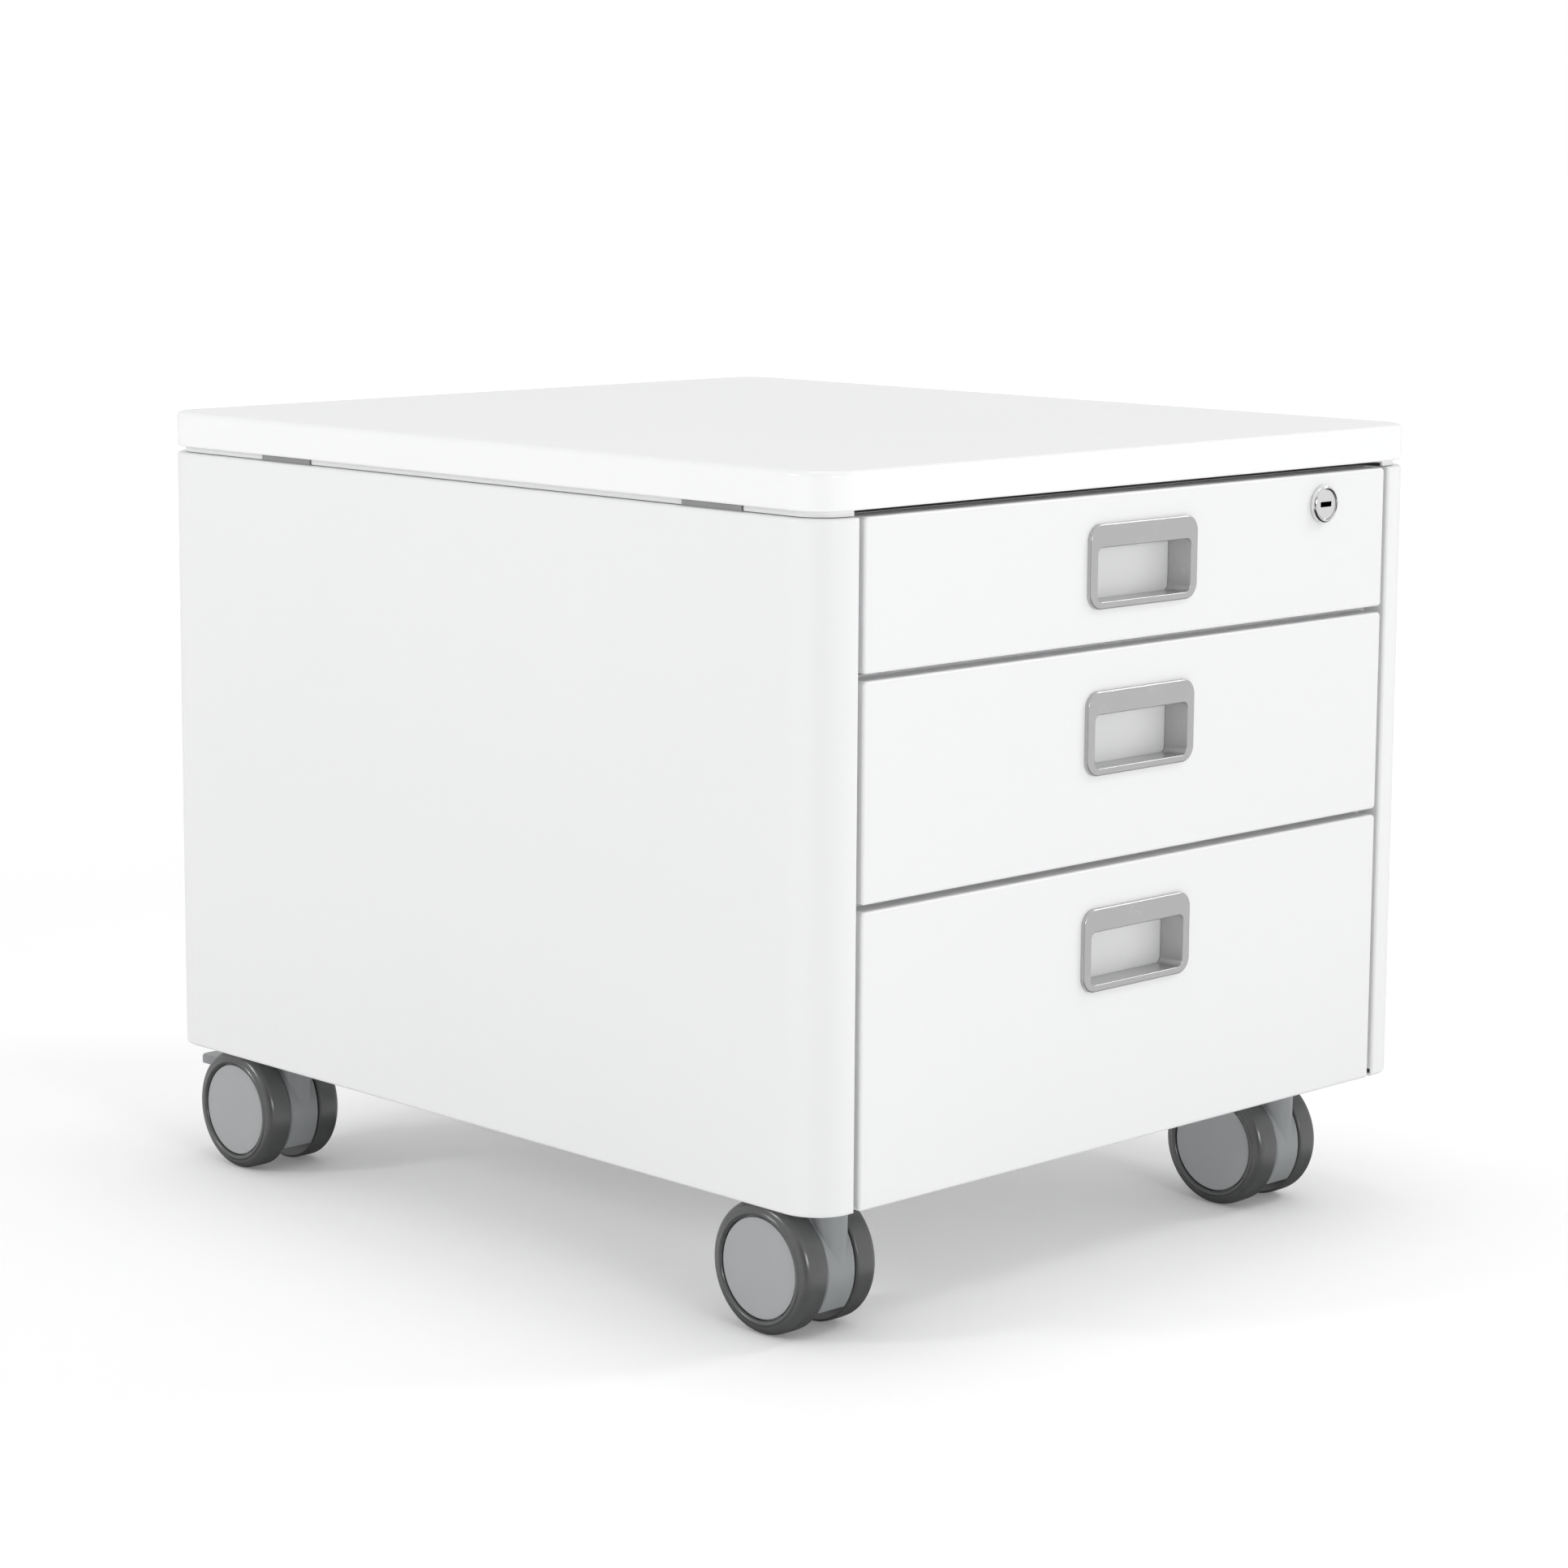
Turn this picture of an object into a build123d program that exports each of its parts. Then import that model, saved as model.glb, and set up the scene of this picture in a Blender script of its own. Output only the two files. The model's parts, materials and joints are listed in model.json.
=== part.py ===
from build123d import *
import os

# A low mobile pedestal: a sheet-steel cabinet with three drawers, a cam lock and four twin-wheel casters.
# Frame: origin on the floor under the middle of the cabinet, +X to the right seen from the front,
# the drawers open towards -Y, +Z up. All sizes are in millimetres.

os.makedirs("parts", exist_ok=True)

# ---- cabinet body ----
WIDTH = 410.0  # outside width of body and top
DEPTH = 466.0  # outside depth of body and top
CORNER_R = 20.0  # the four upright corners, seen from above
SHEET = 1.2  # steel sheet
TRAY_SHEET = 1.0  # thinner sheet of the drawer trays
SEAM = 0.2  # slack where one folded piece sits inside another
EDGE_R = 1.5  # bend radius along panel edges
BODY_BOTTOM = 61.0  # lower edge of the body above the floor
BODY_HEIGHT = 301.0
BODY_TOP = BODY_BOTTOM + BODY_HEIGHT
FRONT_Y = -DEPTH / 2
BACK_Y = DEPTH / 2
POST_WIDTH = 23.3  # how far each side panel wraps round onto the front and the back
LIP_DEPTH = 20.0  # inward return at the end of each wrap
MOUTH_X = WIDTH / 2 - POST_WIDTH  # half the clear width between the side panels' returns

# ---- top ----
SHUT_GAP = 3.0  # gap between top and body, and between neighbouring fronts
TOP_THICKNESS = 17.0
TOP_BOTTOM = BODY_TOP + SHUT_GAP
TOP_UPPER_R = 2.5
TOP_LOWER_R = 1.2
TOP_LIP = 14.0  # width of the return under the top panel's rim
PAD_WIDTH = 19.0
PAD_LENGTH = 37.0
PAD_FROM_EDGE = 3.0
PAD_CENTRES_Y = (-163.0, 135.5)
PAD_SLACK = 0.5
PLINTH_INSET = 4.0  # the top's downward return, which closes the shut gap a little way in
PLINTH_CLEARANCE = 0.3

# ---- base, sub-top, uprights and back ----
BASE_PLATE = 2.0
BASE_BOTTOM = BODY_BOTTOM + SHEET + 0.1
BASE_TOP = BASE_BOTTOM + BASE_PLATE
BASE_FRONT_Y = FRONT_Y + 13.6
BASE_FRONT_R = 7.0
BASE_FLANGE = 12.0
BASE_FRONT_FLANGE = 5.5
LIP_START = BASE_TOP + 0.3  # the side panels' returns stop above the base plate
FLANGE_LENGTH = 410.0  # straight run of the folded flanges on base and sub-top
SUBTOP_FRONT_Y = FRONT_Y + 16.0
SUBTOP_FLANGE = 12.0
SUBTOP_FRONT_LIP = 9.0
UPRIGHT_WIDTH = 25.0
UPRIGHT_DEPTH = 20.5
UPRIGHT_CENTRES_Y = (-187.5, 152.5)
BACK_FLANGE = 15.0
BACK_FLANGE_INSET = 5.0

# ---- drawers ----
FRONT_HALF = MOUTH_X - SHUT_GAP  # half the width of a drawer front
FRONT_DEPTH = 12.0
FRONT_CORNER_R = 2.0
FRONT_LIP = 30.0  # stiffening return at the left and right of each front
WALL_HALF = 181.2  # half the width of the tray's front wall, which reaches behind the shut gaps
WALL_REACH = 1.2  # how far the wall stands out past the front's upper and lower edges
WALL_INSET = 2.0  # the bottom wall stops this far above the body's lower edge
TRAY_HALF = 169.0
TRAY_BACK_Y = 184.0
TRAY_RIM = 5.0  # inward fold along the tray's upper edges
WALL_Y = FRONT_Y + FRONT_DEPTH  # outer face of the tray's front wall
# name: (front bottom, front top, tray bottom, tray top, handle below front's top, slide centre height)
DRAWERS = {
    "top": (295.0, BODY_TOP, 300.0, 346.0, 13.0, 322.0),
    "middle": (195.5, 292.0, 201.0, 285.0, 18.5, 222.0),
    "bottom": (BODY_BOTTOM, 192.5, 73.0, 186.0, 18.5, 97.0),
}

# ---- telescopic slides: three nested channels on each side of a drawer ----
SLIDE_START_Y = FRONT_Y + 17.0
SLIDE_LENGTH = 400.0
SLIDE_SPACE = MOUTH_X - TRAY_HALF  # room between side panel and tray
SLIDE_HALF_HEIGHT = 17.5
SLIDE_PLAY = 0.4

# ---- recessed handle ----
BEZEL_WIDTH = 74.3
BEZEL_HEIGHT = 38.5
BEZEL_R = 7.5
BEZEL_PROUD = 2.0
BEZEL_EDGE_R = 0.9
GRIP_WIDTH = 64.0
GRIP_HEIGHT = 24.4
GRIP_R = 3.0
GRIP_BOTTOM_BORDER = 3.4
POCKET_HEIGHT = 31.0  # taller than the grip opening, so fingers hook behind the upper border
POCKET_WALL = 1.5
POCKET_END_GAP = 0.3
CUTOUT_SLACK = 0.4

# ---- cam lock in the top drawer ----
LOCK_X = 130.5
LOCK_Z = 347.5
LOCK_RING_R = 9.0
LOCK_RING_PROUD = 3.0
LOCK_BARREL_R = 8.0
LOCK_BARREL_END_Y = FRONT_Y + 19.0
LOCK_HEAD_R = 7.25
LOCK_HEAD_SUNK = 0.6
LOCK_SHAFT_R = 5.0
RUNNING = 0.05  # radial clearance of turning fits
KEY_SLOT = (8.0, 2.3, 9.0)  # width, height, depth
CAM_THICKNESS = 1.5
CAM_LENGTH = 12.0
CAM_WIDTH = 12.0
CAM_TIP_R = 3.0
CAM_CLEARANCE = 0.2

# ---- casters ----
AXLE_Z = 30.2
TYRE_R = 30.2
TYRE_WIDTH = 13.8
TYRE_OUTER_FILLET = 5.5
TYRE_INNER_FILLET = 2.0
TYRE_BORE_R = 23.4
CASTER_HALF = 23.0  # centre plane to the outer side of either tyre
HUB_FACE_R = 22.7
HUB_FACE_SUNK = 0.8
HUB_GROOVE = 1.6
HUB_BACK_RECESS = 6.0
AXLE_R = 3.0
AXLE_HALF = 20.0
HOUSING_HALF = 8.7
HOUSING_R = 29.6
HOUSING_CUT = 18.0  # the underside is flat, this far below the axle
NECK_R = 8.2
TRAIL = 21.3  # the swivel axis stands this far in front of the axle
SWIVEL_GAP = 0.6  # neck below the body's lower edge
STEM_R = 4.0
STEM_DEPTH = 24.0
STEM_FLANGE_R = 7.0
STEM_FLANGE_THICKNESS = 1.4
NUT_FLATS = 12.0
NUT_HEIGHT = 6.5
# name: (centre x, swivel axis y, has a brake)
CASTERS = {
    "front_left": (-174.5, -210.3, False),
    "front_right": (135.5, -210.3, False),
    "rear_left": (-174.5, 170.3, True),
    "rear_right": (135.5, 170.3, True),
}

# ---- brake pedal of the rear casters, measured from the axle ----
PEDAL_PIVOT = (18.0, 13.0)
PEDAL_BOTTOM = 14.6
PEDAL_THICKNESS = 4.2
PEDAL_START = 27.5
PEDAL_WIDE_START = 31.5
PEDAL_TIP = 47.0
PEDAL_NECK_HALF = 8.2
PEDAL_HALF = 9.5
TONGUE_HALF = 4.0
TONGUE_R = 4.0
TRUNNION_R = 2.0
TRUNNION_HALF = 7.5
SLOT_SIDE = 0.5
SLOT_FRONT = 12.0
SLOT_BOTTOM = 6.0

# ---- screws ----
SCREW_HEAD_R = 3.6
SCREW_HEAD_HEIGHT = 2.0
SCREW_SHANK_R = 1.7
SCREW_HOLE_R = 1.95
SCREW_LENGTH = 5.0
SCREW_SLOT = (0.9, 1.0)  # width and depth of the cross recess
BACK_SCREWS = [(x, z) for x in (-150.0, 0.0, 150.0) for z in (70.5, 355.0)]
FRONT_SCREW_X = 156.0
FRONT_SCREW_INSET = 12.0


def finish(builder, name):
    """Labels a finished piece and writes it to its own file."""
    builder.part.label = name
    export_step(builder.part, f"parts/{name}.step")


def at_y(y):
    """An upright plane at the given Y whose normal points to the front, with X and Z as its axes."""
    return Plane.XZ.offset(-y)


def at_x(x):
    """An upright plane at the given X whose normal points to the right, with Y and Z as its axes."""
    return Plane.YZ.offset(x)


def block(x_range, y_range, z_range, mode=Mode.ADD):
    """Adds or removes a rectangular block given by its extents."""
    spans = (x_range, y_range, z_range)
    with Locations(tuple(sum(span) / 2 for span in spans)):
        Box(*(abs(span[1] - span[0]) for span in spans), mode=mode)


def rod_y(x, z, radius, y_start, y_end, mode=Mode.ADD):
    """Adds or removes a round bar along Y."""
    with BuildSketch(at_y(y_start)) as section:
        with Locations((x, z)):
            Circle(radius)
    extrude(section.sketch, amount=y_start - y_end, mode=mode)


def rod_x(y, z, radius, x_start, x_end, mode=Mode.ADD):
    """Adds or removes a round bar along X."""
    with BuildSketch(at_x(x_start)) as section:
        with Locations((y, z)):
            Circle(radius)
    extrude(section.sketch, amount=x_end - x_start, mode=mode)


def pan_screw(x, z, y_seat, towards):
    """A pan-head screw along Y whose head stands from y_seat on the side given by towards."""
    top = y_seat + towards * SCREW_HEAD_HEIGHT
    rod_y(x, z, SCREW_HEAD_R, y_seat, top)
    rod_y(x, z, SCREW_SHANK_R, y_seat, y_seat - towards * SCREW_LENGTH)
    slot_width, slot_depth = SCREW_SLOT
    slot_y = (top, top - towards * slot_depth)
    for half_x, half_z in ((SCREW_HEAD_R * 0.6, slot_width / 2), (slot_width / 2, SCREW_HEAD_R * 0.6)):
        block((x - half_x, x + half_x), slot_y, (z - half_z, z + half_z), mode=Mode.SUBTRACT)


# ---------------------------------------------------------------- top

with BuildPart() as top_panel:
    with BuildSketch(Plane.XY.offset(TOP_BOTTOM)):
        RectangleRounded(WIDTH, DEPTH, CORNER_R)
    extrude(amount=TOP_THICKNESS)
    fillet(top_panel.faces().sort_by(Axis.Z)[-1].edges(), TOP_UPPER_R)
    fillet(top_panel.faces().sort_by(Axis.Z)[0].edges(), TOP_LOWER_R)
    with BuildSketch(Plane.XY.offset(TOP_BOTTOM + SHEET)):
        RectangleRounded(WIDTH - 2 * SHEET, DEPTH - 2 * SHEET, CORNER_R - SHEET)
    extrude(amount=TOP_THICKNESS - 2 * SHEET, mode=Mode.SUBTRACT)
    with BuildSketch(Plane.XY.offset(TOP_BOTTOM)):
        RectangleRounded(WIDTH - 2 * TOP_LIP, DEPTH - 2 * TOP_LIP, CORNER_R / 2)
    extrude(amount=2 * SHEET, mode=Mode.SUBTRACT)
    plinth_bottom = BODY_TOP + PLINTH_CLEARANCE
    with BuildSketch(Plane.XY.offset(plinth_bottom)) as plinth:
        RectangleRounded(WIDTH - 2 * PLINTH_INSET, DEPTH - 2 * PLINTH_INSET, CORNER_R - PLINTH_INSET)
        inner = PLINTH_INSET + SHEET
        RectangleRounded(WIDTH - 2 * inner, DEPTH - 2 * inner, CORNER_R - inner, mode=Mode.SUBTRACT)
        with Locations((0, FRONT_Y)):
            Rectangle(2 * MOUTH_X, 2 * CORNER_R, mode=Mode.SUBTRACT)
        for y in PAD_CENTRES_Y:
            with Locations((0, y)):
                Rectangle(WIDTH, PAD_LENGTH + 2 * PAD_SLACK, mode=Mode.SUBTRACT)
    extrude(amount=TOP_BOTTOM - plinth_bottom + SHEET / 2)
finish(top_panel, "top_panel")

with BuildPart() as top_panel_core:
    inset = SHEET + SEAM
    with BuildSketch(Plane.XY.offset(TOP_BOTTOM + SHEET)):
        RectangleRounded(WIDTH - 2 * inset, DEPTH - 2 * inset, CORNER_R - inset)
    extrude(amount=TOP_THICKNESS - 2 * SHEET)
    chamfer(top_panel_core.faces().sort_by(Axis.Z)[-1].edges(), SHEET)
finish(top_panel_core, "top_panel_core")

with BuildPart() as top_spacer_pads:
    pad_x = WIDTH / 2 - PAD_FROM_EDGE - PAD_WIDTH / 2
    for x in (-pad_x, pad_x):
        for y in PAD_CENTRES_Y:
            block(
                (x - PAD_WIDTH / 2, x + PAD_WIDTH / 2),
                (y - PAD_LENGTH / 2, y + PAD_LENGTH / 2),
                (BODY_TOP, TOP_BOTTOM),
            )
finish(top_spacer_pads, "top_spacer_pads")


# ---------------------------------------------------------------- body shell


def side_panel(name, side):
    """One side with its rounded front post and rear corner, folded into a shallow closed-ended channel."""
    centre_x = side * (WIDTH / 2 - POST_WIDTH / 2)
    inner_x = side * MOUTH_X
    outer = Axis.X if side < 0 else -Axis.X
    with BuildPart() as panel:
        with BuildSketch(Plane.XY.offset(BODY_BOTTOM)) as outline:
            with Locations((centre_x, 0)):
                Rectangle(POST_WIDTH, DEPTH)
            fillet(outline.vertices().group_by(outer)[0], CORNER_R)
        extrude(amount=BODY_HEIGHT)
        rims = panel.faces().sort_by(Axis.Z)[0].edges() + panel.faces().sort_by(Axis.Z)[-1].edges()
        rims = rims.filter_by(lambda edge: abs(edge.center().X - inner_x) > SHEET)
        inner_corners = panel.edges().filter_by(Axis.Z).group_by(outer)[-1]
        fillet(rims + inner_corners, EDGE_R)
        with BuildSketch(Plane.XY.offset(BODY_BOTTOM + SHEET)) as hollow:
            with Locations((centre_x, 0)):
                Rectangle(POST_WIDTH - 2 * SHEET, DEPTH - 2 * SHEET)
            fillet(hollow.vertices().group_by(outer)[0], CORNER_R - SHEET)
        extrude(amount=BODY_HEIGHT - 2 * SHEET, mode=Mode.SUBTRACT)
        mouth_x = (inner_x + side * 2 * SHEET, inner_x - side * SHEET)
        mouth_z = (BODY_BOTTOM + SHEET, BODY_TOP - SHEET)
        lip_y = DEPTH / 2 - LIP_DEPTH
        block(mouth_x, (-lip_y, lip_y), mouth_z, mode=Mode.SUBTRACT)
        base_y = DEPTH / 2 - SHEET
        block(mouth_x, (-base_y, base_y), (BODY_BOTTOM + SHEET, LIP_START), mode=Mode.SUBTRACT)
    finish(panel, name)


side_panel("left_side_panel", -1)
side_panel("right_side_panel", 1)

with BuildPart() as back_panel:
    half = MOUTH_X - 0.5
    block((-half, half), (BACK_Y - BACK_FLANGE, BACK_Y), (BODY_BOTTOM, BODY_TOP))
    folded_edges = back_panel.faces().sort_by(Axis.Y)[-1].edges().sort_by(Axis.Z)[:-1]
    fillet(folded_edges, EDGE_R)
    hollow_half = half - SHEET
    hollow_z = (BODY_BOTTOM + SHEET, BODY_TOP + SHEET)
    block((-hollow_half, hollow_half), (0, BACK_Y - SHEET), hollow_z, mode=Mode.SUBTRACT)
    for side in (-1, 1):
        flange_x = (side * (half + SHEET), side * (hollow_half - SHEET))
        for z_range in (
            (BODY_BOTTOM + SHEET, BODY_BOTTOM + BACK_FLANGE_INSET),
            (BODY_TOP - BACK_FLANGE_INSET, BODY_TOP + SHEET),
        ):
            block(flange_x, (0, BACK_Y - SHEET), z_range, mode=Mode.SUBTRACT)
    for x, z in BACK_SCREWS:
        rod_y(x, z, SCREW_HOLE_R, BACK_Y - 2 * SHEET, BACK_Y + SHEET, mode=Mode.SUBTRACT)
finish(back_panel, "back_panel")

with BuildPart() as base_pan:
    base_half = WIDTH / 2 - SHEET - SEAM
    base_back = BACK_Y - SHEET - SEAM
    with BuildSketch(Plane.XY.offset(BASE_BOTTOM)) as base_outline:
        with Locations((0, (BASE_FRONT_Y + base_back) / 2)):
            Rectangle(2 * base_half, base_back - BASE_FRONT_Y)
        fillet(base_outline.vertices().group_by(Axis.Y)[-1], CORNER_R - SHEET - SEAM)
        fillet(base_outline.vertices().group_by(Axis.Y)[0], BASE_FRONT_R)
    extrude(amount=BASE_PLATE)
    for side in (-1, 1):
        flange_x = (side * base_half, side * (base_half - SHEET))
        block(flange_x, (-FLANGE_LENGTH / 2, FLANGE_LENGTH / 2), (BASE_TOP, BASE_TOP + BASE_FLANGE))
    rear_half = MOUTH_X - LIP_DEPTH / 2
    block((-rear_half, rear_half), (base_back - SHEET, base_back), (BASE_TOP, BASE_TOP + BASE_FLANGE))
    front_half = TRAY_HALF - BACK_FLANGE_INSET
    front_flange_y = (BASE_FRONT_Y, BASE_FRONT_Y + SHEET)
    block((-front_half, front_half), front_flange_y, (BASE_TOP, BASE_TOP + BASE_FRONT_FLANGE))
    for x, y, _ in CASTERS.values():
        with Locations((x, y, BASE_BOTTOM)):
            Cylinder(STEM_R + RUNNING, 4 * BASE_PLATE, mode=Mode.SUBTRACT)
    for x, z in BACK_SCREWS:
        if z < BASE_TOP + BASE_FLANGE:
            rod_y(x, z, SCREW_HOLE_R, base_back - 2 * SHEET, base_back + SHEET, mode=Mode.SUBTRACT)
finish(base_pan, "base_pan")

with BuildPart() as subtop:
    sub_half = MOUTH_X - SEAM
    sub_back = BACK_Y - SHEET - SEAM
    sub_bottom = BODY_TOP - SHEET
    block((-sub_half, sub_half), (SUBTOP_FRONT_Y, sub_back), (sub_bottom, BODY_TOP))
    for side in (-1, 1):
        flange_x = (side * sub_half, side * (sub_half - SHEET))
        block(flange_x, (-FLANGE_LENGTH / 2, FLANGE_LENGTH / 2), (sub_bottom - SUBTOP_FLANGE, sub_bottom))
    rear_half = MOUTH_X - LIP_DEPTH / 2
    block((-rear_half, rear_half), (sub_back - SHEET, sub_back), (sub_bottom - SUBTOP_FLANGE, sub_bottom))
    lip_z = (sub_bottom - SUBTOP_FRONT_LIP, sub_bottom)
    block((-rear_half, rear_half), (SUBTOP_FRONT_Y, SUBTOP_FRONT_Y + SHEET), lip_z)
    # The catch is an open slot, so the cam passes it at every drawer position.
    catch_half = CAM_LENGTH + BACK_FLANGE_INSET
    catch_y = (SUBTOP_FRONT_Y - SHEET, SUBTOP_FRONT_Y + 2 * SHEET)
    block((LOCK_X - catch_half, LOCK_X + catch_half), catch_y, lip_z, mode=Mode.SUBTRACT)
    for x, z in BACK_SCREWS:
        if z > sub_bottom - SUBTOP_FLANGE:
            rod_y(x, z, SCREW_HOLE_R, sub_back - 2 * SHEET, sub_back + SHEET, mode=Mode.SUBTRACT)
finish(subtop, "subtop")

with BuildPart() as slide_uprights:
    for side in (-1, 1):
        web_x = side * MOUTH_X
        far_x = side * (MOUTH_X + UPRIGHT_DEPTH)
        for y in UPRIGHT_CENTRES_Y:
            y_low = y - UPRIGHT_WIDTH / 2
            y_high = y + UPRIGHT_WIDTH / 2
            z_range = (LIP_START, BODY_TOP - SHEET - SEAM)
            block((web_x, far_x), (y_low, y_high), z_range)
            trough_x = (web_x + side * SHEET, far_x + side * SHEET)
            block(trough_x, (y_low + SHEET, y_high - SHEET), z_range, mode=Mode.SUBTRACT)
finish(slide_uprights, "slide_uprights")

with BuildPart() as back_screws:
    for x, z in BACK_SCREWS:
        pan_screw(x, z, BACK_Y, 1)
finish(back_screws, "back_screws")


# ---------------------------------------------------------------- slides


def slide_channel(side, near, far, half_height, web_near, z_centre):
    """A folded channel along Y. near and far count from the cabinet wall towards the tray."""
    wall_x = side * MOUTH_X
    y_range = (SLIDE_START_Y, SLIDE_START_Y + SLIDE_LENGTH)
    x_range = (wall_x - side * near, wall_x - side * far)
    block(x_range, y_range, (z_centre - half_height, z_centre + half_height))
    inner_half = half_height - SHEET
    if web_near:
        trough_x = (wall_x - side * (near + SHEET), wall_x - side * (far + SHEET))
    else:
        trough_x = (wall_x - side * (near - SHEET), wall_x - side * (far - SHEET))
    block(trough_x, y_range, (z_centre - inner_half, z_centre + inner_half), mode=Mode.SUBTRACT)


MIDDLE_HALF = SLIDE_HALF_HEIGHT - SHEET - SLIDE_PLAY
INNER_HALF = MIDDLE_HALF - SHEET - SLIDE_PLAY

with BuildPart() as outer_slides:
    for *_, slide_z in DRAWERS.values():
        for side in (-1, 1):
            slide_channel(side, 0, 9.5, SLIDE_HALF_HEIGHT, True, slide_z)
finish(outer_slides, "outer_slides")


# ---------------------------------------------------------------- drawers


def handle_heights(front_top, handle_drop):
    """Heights of a handle: bezel centre, grip opening centre and pocket centre."""
    bezel_bottom = front_top - handle_drop - BEZEL_HEIGHT
    floor = bezel_bottom + GRIP_BOTTOM_BORDER
    return bezel_bottom + BEZEL_HEIGHT / 2, floor + GRIP_HEIGHT / 2, floor + POCKET_HEIGHT / 2


def drawer_front(name, bottom, top, handle_drop, with_lock):
    """The outer pan of a drawer front, with returns at its left and right and a cut-out for the handle."""
    _, _, pocket_z = handle_heights(top, handle_drop)
    with BuildPart() as front:
        block((-FRONT_HALF, FRONT_HALF), (FRONT_Y, WALL_Y), (bottom, top))
        fillet(front.edges().filter_by(Axis.Y), FRONT_CORNER_R)
        fillet(front.faces().sort_by(Axis.Y)[0].edges(), EDGE_R)
        inner_half = FRONT_HALF - SHEET
        inner_z = (bottom + SHEET, top - SHEET)
        block((-inner_half, inner_half), (FRONT_Y + SHEET, WALL_Y - SHEET), inner_z, mode=Mode.SUBTRACT)
        mouth_half = inner_half - FRONT_LIP
        block((-mouth_half, mouth_half), (WALL_Y - 2 * SHEET, WALL_Y), inner_z, mode=Mode.SUBTRACT)
        with BuildSketch(at_y(FRONT_Y + 2 * SHEET)):
            with Locations((0, pocket_z)):
                grown = 2 * (POCKET_WALL + CUTOUT_SLACK)
                RectangleRounded(GRIP_WIDTH + grown, POCKET_HEIGHT + grown, GRIP_R + grown / 2)
        extrude(amount=4 * SHEET, mode=Mode.SUBTRACT)
        if with_lock:
            hole_y = (FRONT_Y + 2 * SHEET, FRONT_Y - SHEET)
            rod_y(LOCK_X, LOCK_Z, LOCK_BARREL_R + SEAM, *hole_y, mode=Mode.SUBTRACT)
        for x, z in front_screw_places(name.split("_")[0]):
            rod_y(x, z, SCREW_HOLE_R, WALL_Y, WALL_Y - 2 * SHEET, mode=Mode.SUBTRACT)
    finish(front, name)


def front_screw_places(drawer):
    """Places of the four screws that hold a front to its tray."""
    tray_bottom, tray_top = DRAWERS[drawer][2:4]
    heights = (tray_bottom + FRONT_SCREW_INSET, tray_top - FRONT_SCREW_INSET)
    return [(side * FRONT_SCREW_X, z) for side in (-1, 1) for z in heights]


def handle_bezel(name, front_top, handle_drop):
    """The moulded grip: a rounded bezel on the front and an open-backed finger pocket behind it."""
    bezel_z, grip_z, pocket_z = handle_heights(front_top, handle_drop)
    pocket_depth = FRONT_DEPTH - POCKET_END_GAP
    with BuildPart() as bezel:
        with BuildSketch(at_y(FRONT_Y)):
            with Locations((0, bezel_z)):
                RectangleRounded(BEZEL_WIDTH, BEZEL_HEIGHT, BEZEL_R)
        extrude(amount=BEZEL_PROUD)
        fillet(bezel.faces().sort_by(Axis.Y)[0].edges(), BEZEL_EDGE_R)
        with BuildSketch(at_y(FRONT_Y)):
            with Locations((0, pocket_z)):
                wall = 2 * POCKET_WALL
                RectangleRounded(GRIP_WIDTH + wall, POCKET_HEIGHT + wall, GRIP_R + POCKET_WALL)
        extrude(amount=-pocket_depth)
        with BuildSketch(at_y(FRONT_Y)):
            with Locations((0, pocket_z)):
                RectangleRounded(GRIP_WIDTH, POCKET_HEIGHT, GRIP_R)
        extrude(amount=-pocket_depth, mode=Mode.SUBTRACT)
        with BuildSketch(at_y(FRONT_Y)):
            with Locations((0, grip_z)):
                RectangleRounded(GRIP_WIDTH, GRIP_HEIGHT, GRIP_R)
        extrude(amount=BEZEL_PROUD, mode=Mode.SUBTRACT)
    finish(bezel, name)


def drawer_tray(name, front_bottom, front_top, tray_bottom, tray_top, with_lock):
    """The welded tray: an open box with folded rims and a wider front wall behind the front."""
    with BuildPart() as tray:
        box_y = (WALL_Y, TRAY_BACK_Y)
        block((-TRAY_HALF, TRAY_HALF), box_y, (tray_bottom, tray_top))
        fillet(tray.edges().filter_by(Axis.Y).group_by(Axis.Z)[0], EDGE_R)
        inner_half = TRAY_HALF - TRAY_SHEET
        inner_y = (WALL_Y + TRAY_SHEET, TRAY_BACK_Y - TRAY_SHEET)
        inner_z = (tray_bottom + TRAY_SHEET, tray_top - TRAY_SHEET)
        block((-inner_half, inner_half), inner_y, inner_z, mode=Mode.SUBTRACT)
        mouth_half = inner_half - TRAY_RIM
        mouth_y = (WALL_Y + TRAY_SHEET, TRAY_BACK_Y - TRAY_SHEET - TRAY_RIM)
        mouth_z = (tray_top - 2 * TRAY_SHEET, tray_top + TRAY_SHEET)
        block((-mouth_half, mouth_half), mouth_y, mouth_z, mode=Mode.SUBTRACT)
        wall_bottom = max(front_bottom - WALL_REACH, BODY_BOTTOM + WALL_INSET)
        wall_z = (wall_bottom, min(front_top + WALL_REACH, BODY_TOP))
        block((-WALL_HALF, WALL_HALF), (WALL_Y, WALL_Y + TRAY_SHEET), wall_z)
        if with_lock:
            hole_y = (WALL_Y + 2 * TRAY_SHEET, WALL_Y - TRAY_SHEET)
            rod_y(LOCK_X, LOCK_Z, LOCK_BARREL_R + SEAM, *hole_y, mode=Mode.SUBTRACT)
        for x, z in front_screw_places(name.split("_")[0]):
            rod_y(x, z, SCREW_HOLE_R, WALL_Y + 2 * TRAY_SHEET, WALL_Y - TRAY_SHEET, mode=Mode.SUBTRACT)
    finish(tray, name)


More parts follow.
